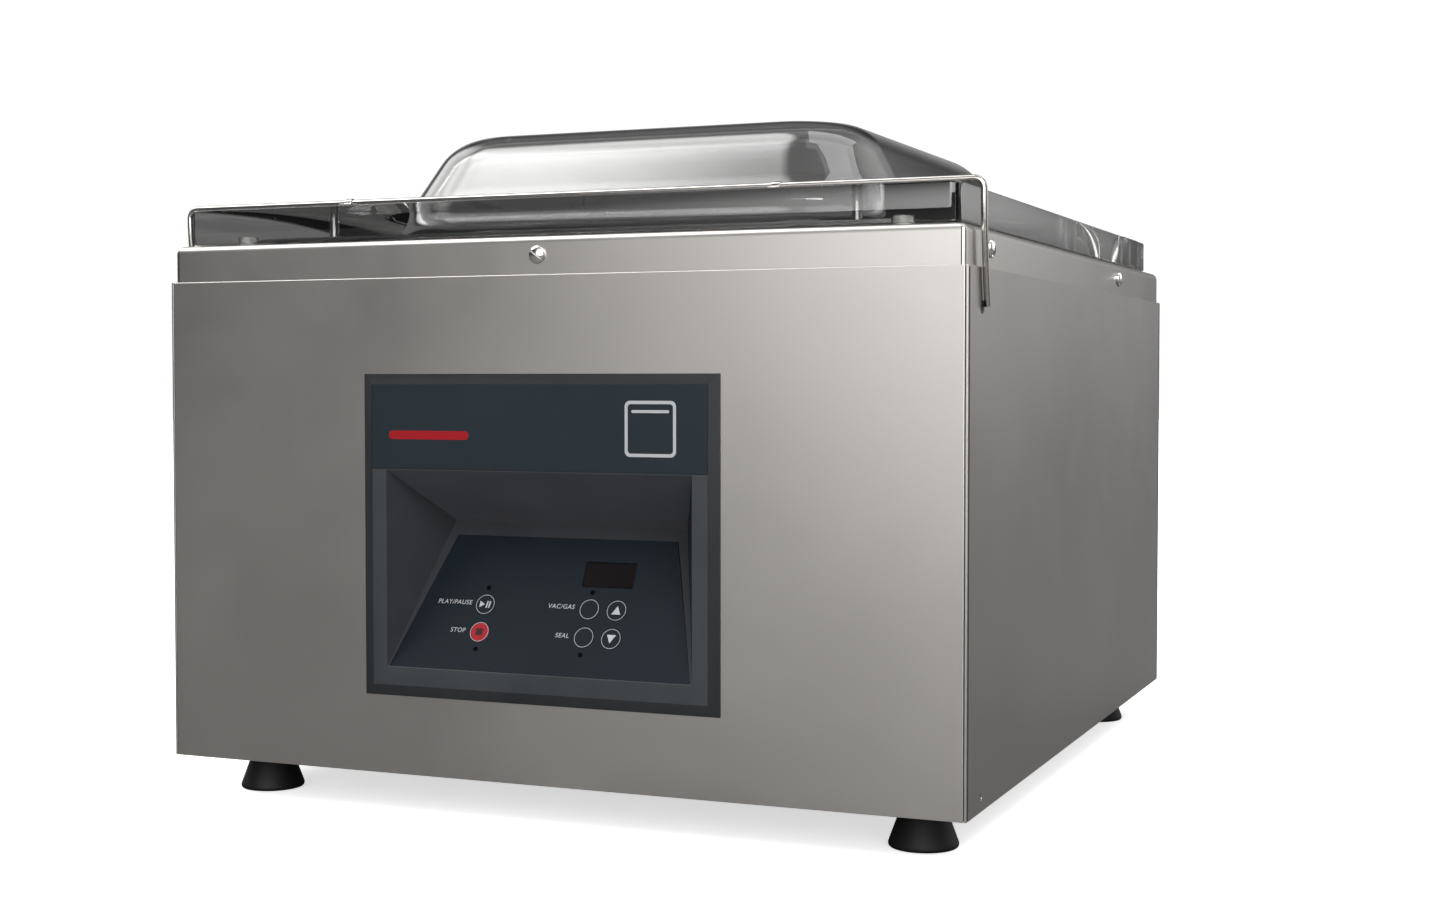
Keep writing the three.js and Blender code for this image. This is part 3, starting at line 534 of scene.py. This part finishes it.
# chamfer faces get the darker copy as painted shade
for f in bezel.data.polygons:
    if f.center.y < (BEZ["back"] - 0.05) * MM and -0.985 < f.normal.y < -0.5 and (abs(f.center.x) > BEZ["flat"] * MM or abs(f.center.z - 0.1815) > 0.0965):
        f.material_index = 1
    # recess faces take a darker copy as painted shade, their downward faces a lighter copy as painted light
    elif abs(f.center.x) < 0.1075 and 0.094 < f.center.z < 0.2245 and f.center.y > (BEZ["face"] + 0.6) * MM:
        f.material_index = 3 if f.normal.z < -0.25 else 2

S = Vector((0, FOIL["yt"] - FOIL["yb"], FOIL["zt"] - FOIL["zb"]))
SL = S.length
S.normalize()
N = Vector((0, -S.z, S.y))


def on_foil(u, v, h=0.0):
    return Vector((u, FOIL["yb"] + S.y * v + N.y * h, FOIL["zb"] + S.z * v + N.z * h))


def foil_place(u, v, h=0.0):
    o = on_foil(u, v, h)
    return Matrix(((1, 0, N.x, o.x), (0, S.y, N.y, o.y), (0, S.z, N.z, o.z), (0, 0, 0, 1)))


from_node("membrane_panel", M_foil, (0.12, 2))
from_node("display_window", M_window, (0.2, 2))
from_node("nameplate", M_label, (0.15, 2))
KEYS = {"key_start": (-46.4, 44.4), "key_stop": (-46.2, 25.8), "key_gas": (27.4, 44.4), "key_seal": (27.6, 25.8), "key_up": (46.2, 44.4), "key_down": (46.3, 25.8)}


def key_pieces():
    for k, (u, v) in KEYS.items():
        body = k + "_cap"
        pl = foil_place(u, v)
        bm = bmesh.new()
        prof = [(0, -1.4), (6.45, -1.4), (6.6, -1.25), (6.6, 0.05), (6.52, 0.16), (6.3, 0.22), (5.0, 0.25), (0, 0.25)]
        lathe(bm, prof, 72, pl)
        finish_mesh(k + "_face", bm, M_red if k == "key_stop" else M_foil, body, (k,), 40)
        bm = bmesh.new()
        ring_band(bm, 6.1, 6.5, 0.2, 0.29, pl, 80)
        finish_mesh(k + "_ring", bm, M_ring, body, (), 40)
        bm = bmesh.new()
        h0, h1 = 0.22, 0.31
        if k == "key_start":
            prism(bm, [(-3.9, -2.2), (-0.2, 0.0), (-3.9, 2.2)], h0, h1, pl)
            for x in (0.6, 2.4):
                prism(bm, [(x, -2.3), (x + 1.0, -2.3), (x + 1.5, 2.3), (x + 0.5, 2.3)], h0, h1, pl)
        elif k == "key_stop":
            prism(bm, [(-2.5, -2.3), (2.3, -2.3), (2.5, 2.3), (-2.3, 2.3)], h0, h1, pl)
        elif k == "key_up":
            prism(bm, [(-3.1, -2.6), (3.1, -2.6), (0.4, 3.0)], h0, h1, pl)
        elif k == "key_down":
            prism(bm, [(-3.1, 2.6), (-0.4, -3.0), (3.1, 2.6)], h0, h1, pl)
        if bm.verts:
            finish_mesh(k + "_symbol", bm, M_darkred if k == "key_stop" else M_white, body, (), 40)
        else:
            bm.free()
    for i, (u, v) in enumerate(((-46.6, 55.7), (-46.1, 14.4), (27.3, 55.7), (27.7, 14.4))):
        bm = bmesh.new()
        lathe(bm, [(0, 0.02), (1.6, 0.02), (1.6, 0.15), (1.45, 0.19), (0, 0.19)], 32, foil_place(u, v))
        finish_mesh(f"indicator_{i + 1}", bm, M_led, "casing", (), 40)


key_pieces()


def legend(name, text, u, v, size):
    cu = bpy.data.curves.new(name, "FONT")
    cu.body = text
    cu.size = size * MM
    cu.shear = 0.1
    cu.align_x = "RIGHT"
    cu.align_y = "CENTER"
    cu.space_character = 1.08
    cu.offset = 0.0
    cu.extrude = 0.00004
    cu.resolution_u = 6
    tmp = bpy.data.objects.new(name + "_tmp", cu)
    bpy.context.scene.collection.objects.link(tmp)
    bpy.context.view_layer.update()
    me = bpy.data.meshes.new_from_object(tmp.evaluated_get(bpy.context.evaluated_depsgraph_get()))
    bpy.data.objects.remove(tmp)
    pl = foil_place(u, v, 0.06)
    pl = Matrix.Translation(pl.translation * MM) @ pl.to_3x3().to_4x4()
    me.transform(pl)
    me.materials.clear()
    me.materials.append(M_white)
    ob = bpy.data.objects.new(name, me)
    bpy.context.scene.collection.objects.link(ob)
    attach(ob, "casing")


legend("legend_start", "PLAY/PAUSE", -56.3, 45.2, 4.3)
legend("legend_stop", "STOP", -56.5, 26.3, 4.3)
legend("legend_gas", "VAC/GAS", 17.0, 45.4, 4.3)
legend("legend_seal", "SEAL", 17.2, 26.3, 4.3)

# plain generic marks on the nameplate: a bar on the left, a bag outline on the right
pn = Matrix(((1, 0, 0, 0), (0, 0, -1, BEZ["face"]), (0, 1, 0, 0), (0, 0, 0, 1)))


def rrect2(x0, x1, y0, y1, r, n=6):
    return [(x, y) for x, y, _ in rr(x0, x1, y0, y1, r, 0, n)]


def plate_marks():
    bm = bmesh.new()
    prism(bm, rrect2(-104, -46, 243, 248.5, 2.7), 0.0, 0.09, pn)
    finish_mesh("nameplate_bar", bm, M_red, "casing", (), 40)
    bm = bmesh.new()
    outer, inner = rrect2(62, 96, 234, 268, 3.5), rrect2(64, 94, 236, 266, 2.0)
    for h, flip in ((0.0, True), (0.09, False)):
        a = [bm.verts.new(pn @ Vector((x, y, h))) for x, y in outer]
        b = [bm.verts.new(pn @ Vector((x, y, h))) for x, y in inner]
        for i in range(len(a)):
            j = (i + 1) % len(a)
            bm.faces.new((a[i], a[j], b[j], b[i]) if not flip else (b[i], b[j], a[j], a[i]))
    bm.verts.ensure_lookup_table()
    n = len(outer)
    vs = list(bm.verts)
    ao, bi, ao2, bi2 = vs[:n], vs[n:2 * n], vs[2 * n:3 * n], vs[3 * n:]
    for i in range(n):
        j = (i + 1) % n
        bm.faces.new((ao[i], ao[j], ao2[j], ao2[i]))
        bm.faces.new((bi[j], bi[i], bi2[i], bi2[j]))
    finish_mesh("nameplate_bag_outline", bm, M_white, "casing", (), 40)
    bm = bmesh.new()
    prism(bm, rrect2(66.5, 91.5, 260.6, 262.4, 0.8), 0.0, 0.09, pn)
    finish_mesh("nameplate_bag_seam", bm, M_white, "casing", (), 40)


plate_marks()
from_node("control_board", M_board, (0.15, 1))

# ------------------------------------------------------------------ lid
def dome_profile(n=16):
    th = math.atan2(DOME["h"], DOME["inset"])
    tl = DOME["rt"] * math.tan(th / 2)
    ex, ez = DOME["inset"] - math.cos(th) * tl, DOME["h"] - math.sin(th) * tl
    cx, cz = DOME["inset"] + tl, DOME["h"] - DOME["rt"]
    prof = [(ex * k / 4, ez * k / 4) for k in range(1, 5)]
    for i in range(1, n + 1):
        t = th * i / n
        prof.append((cx - DOME["rt"] * math.sin(th - t), cz + DOME["rt"] * math.cos(th - t)))
    return prof, th


def dome_ring(o, z, seg=20):
    r = max(DOME["r"] - o * 0.6, 6)
    return rr(-DOME["x"] + o, DOME["x"] - o, DOME["y0"] + o, DOME["y1"] - o, r, z, seg)


def lid():
    z0, z1 = SLAB["z0"], SLAB["z1"]
    prof, th = dome_profile()
    seg = 20
    sl = lambda o, r, z: rr(-SLAB["x"] + o, SLAB["x"] - o, SLAB["y0"] + o, SLAB["y1"] - o, r, z, seg)
    # inner skin: the outer profile moved in by the wall along its normal
    w = DOME["wall"]
    inner = []
    full = [(0.0, 0.0)] + prof
    for i in range(1, len(full)):
        a, b = full[max(0, i - 1)], full[min(len(full) - 1, i + 1)]
        dx, dz = b[0] - a[0], b[1] - a[1]
        L = math.hypot(dx, dz)
        inner.append((full[i][0] + w * dz / L, full[i][1] - w * dx / L))
    rings = []
    top_in = inner[::-1]
    for k in (0.35, 0.7):   # top of the cavity, from its middle outwards
        rings.append(dome_ring(top_in[0][0] + 90 * (1 - k), z1 + top_in[0][1] + 0.6 * (1 - k), seg))
    rings += [dome_ring(o, z1 + h, seg) for o, h in top_in]
    # flared mouth through the slab
    o0, h0 = inner[0]
    for t in (0.2, 0.4, 0.6, 0.8, 1.0):
        q = t * t
        rings.append(dome_ring(o0 - 6 * q - 8 * t * q, z1 + h0 - (h0 + 13.0) * t, seg))
    rings.append(dome_ring(-15.0, z0 + 3.0, seg))
    rings.append(dome_ring(-15.8, z0 + 0.6, seg))
    rings.append(dome_ring(-16.4, z0, seg))
    g = lambda d, z: rr(-RING["x"] + d, RING["x"] - d, RING["y0"] + d, RING["y1"] - d, RING["r"] - d, z, seg)
    rings += [g(RING["w"], z0), g(RING["w"], z0 + 4.8), g(0, z0 + 4.8), g(0, z0)]
    rings += [sl(0.8, 6, z0), sl(0.25, 6, z0 + 0.25), sl(0, 6, z0 + 0.9), sl(0, 6, z1 - 1.2), sl(0.35, 6, z1 - 0.4), sl(1.2, 6, z1)]
    # dome foot fillet
    for t in (0, 0.25, 0.5, 0.75, 1.0):
        a = math.radians(60 * t)
        rings.append(dome_ring(-4.0 + 4.2 * math.sin(a) * 1.1, z1 + 4.0 * (1 - math.cos(a)) * 1.0, seg))
    rings += [dome_ring(o, z1 + h, seg) for o, h in prof if h > 3.2]
    oo, hh = prof[-1]
    for k in (0.7, 0.35):
        rings.append(dome_ring(oo + 90 * (1 - k), z1 + hh, seg))
    bm = bmesh.new()
    loft(bm, rings)
    ob = finish_mesh("lid_dome_clear", bm, M_clear, "lid", ("lid_dome",), 28)
    return ob


lid_ob = lid()
HINGE_SCREWS = [(s * x, y) for s in (-1, 1) for x in (237, 255) for y in (230, 264)]


def lid_holes(b):
    for _, x, y in PADS:
        lathe(b, [(0, SLAB["z0"] - 2), (6.9, SLAB["z0"] - 2), (6.9, SLAB["z0"] + 5.2), (0, SLAB["z0"] + 5.2)], 40, Matrix.Translation((x, y, 0)))
    for x in (-187, 187):
        lathe(b, [(0, SLAB["z0"] - 2), (3.4, SLAB["z0"] - 2), (3.4, SLAB["z1"] + 2), (0, SLAB["z1"] + 2)], 32, Matrix.Translation((x, BAR_Y, 0)))
    for x, y in HINGE_SCREWS:
        lathe(b, [(0, SLAB["z0"] - 2), (2.6, SLAB["z0"] - 2), (2.6, SLAB["z1"] + 2), (0, SLAB["z1"] + 2)], 24, Matrix.Translation((x, y, 0)))


carve(lid_ob, lid_holes)
lid_ob.data.polygons.foreach_set("use_smooth", [True] * len(lid_ob.data.polygons))
lid_ob.data.set_sharp_from_angle(angle=math.radians(28))


def gasket():
    g = lambda d, z: rr(-RING["x"] + d, RING["x"] - d, RING["y0"] + d, RING["y1"] - d, RING["r"] - d, z, 16)
    z0, z1, a, e = DECK + 0.3, SLAB["z0"] + 4.4, 0.4, RING["w"] - 0.4
    rings = [g(a + 2.2, z0), g(a + 0.9, z0 + 0.5), g(a + 0.2, z0 + 1.4), g(a, z1 - 0.5), g(a + 0.5, z1), g(e - 0.5, z1), g(e, z1 - 0.5), g(e - 0.2, z0 + 1.4), g(e - 0.9, z0 + 0.5), g(e - 2.2, z0)]
    bm = bmesh.new()
    loft(bm, rings, closed=True)
    finish_mesh("lid_gasket_profile", bm, M_gasket, "lid", ("lid_gasket",), 40)


gasket()
for n, x, y in PADS:
    bm = bmesh.new()
    lathe(bm, [(0, DECK + 0.5), (2.2, DECK + 0.5), (2.4, DECK + 0.3), (5.9, DECK + 0.3), (6.5, DECK + 0.9), (6.5, SLAB["z0"] + 4.5), (6.2, SLAB["z0"] + 4.8), (0, SLAB["z0"] + 4.8)], 48, Matrix.Translation((x, y, 0)))
    finish_mesh(f"lid_pad_{n}_disc", bm, M_pad, "lid", (f"lid_pad_{n}",), 40)

from_node("counter_bar", M_alu, (0.6, 3))
bm = bmesh.new()
sec = [(-7, 351.7), (7, 351.7), (7, 347.6), (6.2, 346.5), (4.6, 346.0), (-4.6, 346.0), (-6.2, 346.5), (-7, 347.6)]
a = [bm.verts.new((-223, BAR_Y + y, z)) for y, z in sec]
b = [bm.verts.new((223, BAR_Y + y, z)) for y, z in sec]
bm.faces.new(a)
bm.faces.new(b[::-1])
for k in range(len(sec)):
    j = (k + 1) % len(sec)
    bm.faces.new((a[k], a[j], b[j], b[k]))
finish_mesh("counter_silicone_strip", bm, M_sili, "lid", ("counter_silicone",), 40)


def cap_screw(name, x, y, z, body, replaces=(), r=5.0, head=2.6, shank=3.0, bottom=None):
    """Low socket-head screw standing on z, with its shank going down to bottom."""
    bm = bmesh.new()
    t = z + head
    hexr = r * 0.5
    prof = [(0, bottom), (shank - 0.5, bottom), (shank, bottom + 0.6), (shank, z), (r, z), (r, z + head * 0.35), (r * 0.93, z + head * 0.72), (r * 0.78, t - 0.08), (r * 0.7, t), (hexr * 1.02, t), (hexr, t - 0.2), (hexr, t - head * 0.6), (0, t - head * 0.65)]
    lathe(bm, prof, 36, Matrix.Translation((x, y, 0)))
    return finish_mesh(name, bm, M_screw, body, replaces, 35)


for side, s in (("left", -1), ("right", 1)):
    cap_screw(f"bar_screw_{side}_steel", s * 187, BAR_Y, SLAB["z1"] + 0.3, "lid", (f"bar_screw_{side}",), 5.9, 2.7, 3.0, 358)

# hinge arms with their screws, blocks, shaft and retaining rings
for side, s in (("left", -1), ("right", 1)):
    from_node(f"hinge_arm_{side}", M_hinge, (0.8, 3))
    from_node(f"hinge_block_{side}", M_hinge, (0.8, 3))
    for i, (x, y) in enumerate([q for q in HINGE_SCREWS if q[0] * s > 0]):
        cap_screw(f"hinge_screw_{side}_{i + 1}", x, y, SLAB["z1"] + 2.4, "lid", (), 4.2, 0.8, 2.3, SLAB["z0"] + 1.0)
bm = bmesh.new()
lathe(bm, [(0, -251.5), (4.4, -251.5), (5.0, -250.9), (5.0, -201.8), (4.6, -201.6), (4.6, -200.4), (5.0, -200.2), (5.0, 200.2), (4.6, 200.4), (4.6, 201.6), (5.0, 201.8), (5.0, 250.9), (4.4, 251.5), (0, 251.5)], 48, axis_place((0, AXLE[0], AXLE[1]), (1, 0, 0)))
finish_mesh("hinge_shaft_steel", bm, M_screw, "casing", ("hinge_shaft",), 35)
for side, s in (("left", -1), ("right", 1)):
    bm = bmesh.new()
    pl = axis_place((s * 201.0 - 0.5, AXLE[0], AXLE[1]), (1, 0, 0))
    ring_band(bm, 4.75, 8.2, 0.0, 1.0, pl, 48)
    finish_mesh(f"shaft_ring_{side}", bm, M_screw, "casing", (), 40, (0.15, 2))


# ------------------------------------------------------------------ wire
def wire():
    r0, x, y, z = 6.0, WIRE["x"], WIRE["y"], WIRE["z"]

    def leg(s):
        pts = []
        ty, tz = WIRE["tipY"], WIRE["tipZ"]
        topz = z - r0
        for k in range(13):
            t = k / 12
            pts.append((s * x, ty + (y - ty) * (1 - (1 - t) ** 1.6), tz + (topz - tz) * t))
        for k in range(1, 9):
            a = math.radians(90 * k / 8)
            pts.append((s * (x - r0 + r0 * math.cos(a)), y, z - r0 + r0 * math.sin(a)))
        return pts
    path = leg(-1) + [(-200 + 50 * i, y, z) for i in range(9)] + leg(1)[::-1]
    bm = bmesh.new()
    sweep(bm, path, WIRE["r"], 28)
    finish_mesh("lid_wire_rod", bm, M_wire, "wire", ("lid_wire",), 50)


wire()
for side, s in (("left", -1), ("right", 1)):
    bm = bmesh.new()
    x, y, z1, zc = s * 150, WIRE["y"], SLAB["z1"], WIRE["z"]
    feet = z1 + 1.3
    sec = [(-9.0, z1 + 0.3), (-2.2, z1 + 0.3), (-2.2, zc)]
    sec += [(2.2 * math.cos(math.pi * (1 - k / 12)), zc + 2.2 * math.sin(math.pi * k / 12)) for k in range(1, 12)]
    sec += [(2.2, zc), (2.2, z1 + 0.3), (9.0, z1 + 0.3), (9.0, feet - 0.3), (8.7, feet), (3.8, feet), (3.1, feet + 0.4), (2.75, zc)]
    sec += [(2.75 * math.cos(math.pi * k / 12), zc + 2.75 * math.sin(math.pi * k / 12)) for k in range(1, 12)]
    sec += [(-2.75, zc), (-3.1, feet + 0.4), (-3.8, feet), (-8.7, feet), (-9.0, feet - 0.3)]
    prism(bm, [(y + a, b) for a, b in sec], x - 2.6, x + 2.6, Matrix(((0, 0, 1, 0), (1, 0, 0, 0), (0, 1, 0, 0), (0, 0, 0, 1))))
    finish_mesh(f"wire_clip_{side}_saddle", bm, M_wire, "lid", (f"wire_clip_{side}",), 35, (0.12, 2))
    bm = bmesh.new()
    ring_band(bm, 2.3, 4.1, -0.05, 0.45, axis_place((s * (CX - 0.2), -269.3, 322.8), (s, 0, 0)), 48)
    finish_mesh(f"catch_grommet_{side}", bm, M_black, "casing", (), 40, (0.12, 2))

# ------------------------------------------------------------------ seal bar and lifters
from_node("seal_bar", M_alu, (0.6, 3))
from_node("seal_element", M_tape, (0.4, 3))
for side, s in (("left", -1), ("right", 1)):
    from_node(f"lift_cylinder_{side}", M_alu, (0.5, 2))
    bm = bmesh.new()
    lathe(bm, [(0, 240), (3.8, 240), (4.3, 240.6), (4.3, 299.1), (3.8, 299.7), (0, 299.7)], 40, Matrix.Translation((s * 150, BAR_Y, 0)))
    finish_mesh(f"lift_rod_{side}_steel", bm, M_screw, "bar", (f"lift_rod_{side}",), 35)

# ------------------------------------------------------------------ rear
from_node("mains_inlet", M_black, (0.5, 3))
sw = from_node("power_switch", M_red, (0.5, 3))
for i, x in enumerate((-205.5, -134.5)):
    dome_screw(f"inlet_screw_{i + 1}", (x, 301.6, 95), (0, 1, 0), "casing", (), 2.6, 0.7, turn=30 + 50 * i)
k = 0
for x in (-255, 255):
    for z in (60, 190, 320):
        k += 1
        dome_screw(f"rear_screw_{k}", (x, 299.45, z), (0, 1, 0), "casing", (), 4.2, 2.0, turn=37 * k)
for x in (-90, 90):
    k += 1
    dome_screw(f"rear_screw_{k}", (x, 299.45, 335), (0, 1, 0), "casing", (), 4.2, 2.0, turn=37 * k)

# ------------------------------------------------------------------ works inside
from_node("vacuum_pump", M_pump, (2.0, 3, 40))
from_node("pump_motor", M_pump, (1.5, 3, 40))
from_node("exhaust_filter", M_pump, (1.2, 3, 40))
from_node("cooling_fan", M_black, (0.4, 2, 40))
from_node("solenoid_valve", M_brass, (0.8, 2, 40))
from_node("transformer", M_iron, (0.8, 2, 40))
from_node("vacuum_hose", M_hose, None, smooth=50)

# ------------------------------------------------------------------ floor, camera and light
bm = bmesh.new()
R, seg = 14000.0, 96
lathe(bm, [(0, 0), (R * 0.1, 0), (R * 0.4, 0), (R, 0)], seg)
me = bpy.data.meshes.new("floor")
bmesh.ops.scale(bm, vec=(MM,) * 3, verts=bm.verts)
bmesh.ops.recalc_face_normals(bm, faces=bm.faces)
bm.to_mesh(me)
bm.free()
floor = bpy.data.objects.new("floor", me)
bpy.context.scene.collection.objects.link(floor)
mf, nt, pf = mat("floor", (0.90, 0.90, 0.90, 1), 0.0, 0.9)
pf.inputs["Specular IOR Level"].default_value = 0.1
flp = nt.nodes.new("ShaderNodeLightPath")
fmix = nt.nodes.new("ShaderNodeMix"); fmix.data_type = "RGBA"
nt.links.new(flp.outputs["Is Camera Ray"], fmix.inputs["Factor"])
fmix.inputs["A"].default_value = (0.135, 0.134, 0.132, 1)
fmix.inputs["B"].default_value = (0.90, 0.90, 0.90, 1)
nt.links.new(fmix.outputs["Result"], pf.inputs["Base Color"])
fglow = nt.nodes.new("ShaderNodeMath"); fglow.operation = "MULTIPLY"
nt.links.new(flp.outputs["Is Camera Ray"], fglow.inputs[0])
fglow.inputs[1].default_value = 0.62
nt.links.new(fglow.outputs[0], pf.inputs["Emission Strength"])
pf.inputs["Emission Color"].default_value = (1, 1, 1, 1)
mf.cycles.emission_sampling = "NONE"
me.materials.append(mf)
floor.location.z = -0.0002
if me.polygons[0].normal.z < 0:
    me.flip_normals()

cam_data = bpy.data.cameras.new("camera")
cam_data.sensor_width = 36.0
cam_data.lens = 49.50
cam = bpy.data.objects.new("camera", cam_data)
bpy.context.scene.collection.objects.link(cam)
yaw, pitch = math.radians(22.541), math.radians(1.989)
fwd = Vector((-math.sin(yaw) * math.cos(pitch), math.cos(yaw) * math.cos(pitch), -math.sin(pitch)))
cam.location = (0.5775, -1.390, 0.279)
cam.rotation_mode = "QUATERNION"
cam.rotation_quaternion = fwd.to_track_quat("-Z", "Y")
cam_data.clip_start, cam_data.clip_end = 0.01, 100
bpy.context.scene.camera = cam


def area(name, loc, target, size, power, size_y=None, color=(1, 1, 1)):
    d = bpy.data.lights.new(name, "AREA")
    d.energy = power
    d.color = color
    d.shape = "RECTANGLE"
    d.size = size
    d.size_y = size_y or size
    o = bpy.data.objects.new(name, d)
    bpy.context.scene.collection.objects.link(o)
    o.location = loc
    o.rotation_mode = "QUATERNION"
    o.rotation_quaternion = (Vector(target) - Vector(loc)).to_track_quat("-Z", "Y")
    return o


area("key", (0.9, -3.2, 2.0), (0.1, 0, 0.3), 1.4, 14, 1.4)
area("sweep", (1.0, -1.3, 1.3), (0.45, -0.65, 0.0), 0.6, 24, 0.6)
area("top", (0.95, 0.3, 3.2), (0.1, 0, 0.3), 1.8, 20, 1.8)
area("fill_right", (2.6, 2.6, 1.5), (0.2, 0, 0.3), 1.4, 10, 1.8)

# the studio round the machine: white behind it, dimmer to the front left and to the right
world = bpy.data.worlds.new("studio")
bpy.context.scene.world = world
world.use_nodes = True
wn = world.node_tree
bg = wn.nodes["Background"]
tc = wn.nodes.new("ShaderNodeTexCoord")


def lobe(direction, start, end, lo, hi):
    """A smooth change from lo to hi as the view direction swings towards direction: start and end are cosines."""
    d = wn.nodes.new("ShaderNodeVectorMath"); d.operation = "DOT_PRODUCT"
    wn.links.new(tc.outputs["Generated"], d.inputs[0])
    d.inputs[1].default_value = Vector(direction).normalized()
    r = wn.nodes.new("ShaderNodeMapRange"); r.interpolation_type = "SMOOTHSTEP"
    r.inputs["From Min"].default_value, r.inputs["From Max"].default_value = start, end
    r.inputs["To Min"].default_value, r.inputs["To Max"].default_value = lo, hi
    wn.links.new(d.outputs["Value"], r.inputs["Value"])
    return r.outputs["Result"]


def op(kind, a, b):
    m = wn.nodes.new("ShaderNodeMath"); m.operation = kind
    for i, v in enumerate((a, b)):
        if isinstance(v, (int, float)):
            m.inputs[i].default_value = v
        else:
            wn.links.new(v, m.inputs[i])
    return m.outputs[0]


back = op("ADD", lobe((-0.45, 0.89, 0.05), 0.86, 0.97, 0.0, 0.24), op("ADD", lobe((-0.385, -0.13, 0.914), 0.95, 0.988, 0.0, 5.0), lobe((-0.8, 0.2, 0.5), 0.90, 0.98, 0.0, 2.2)))
front = op("ADD", lobe((0.29, -0.94, 0.04), 0.68, 0.95, 0.0, 4.5), lobe((0.7, 0.65, 0.3), 0.72, 0.95, 0.0, 0.95))
left_wall = lobe((-0.66, -0.28, 0.7), 0.93, 0.99, 0.0, 4.2)
above = lobe((0, 0, 1), 0.45, 0.85, 0.0, 0.5)
level = op("ADD", op("ADD", op("ADD", 0.075, back), left_wall), op("ADD", front, above))
lp = wn.nodes.new("ShaderNodeLightPath")
mixw = wn.nodes.new("ShaderNodeMix"); mixw.data_type = "FLOAT"
wn.links.new(lp.outputs["Is Camera Ray"], mixw.inputs["Factor"])
wn.links.new(level, mixw.inputs["A"])
mixw.inputs["B"].default_value = 1.03
wn.links.new(mixw.outputs["Result"], bg.inputs["Strength"])
bg.inputs["Color"].default_value = (1, 0.995, 0.988, 1)
bpy.context.scene.view_settings.view_transform = "Standard"
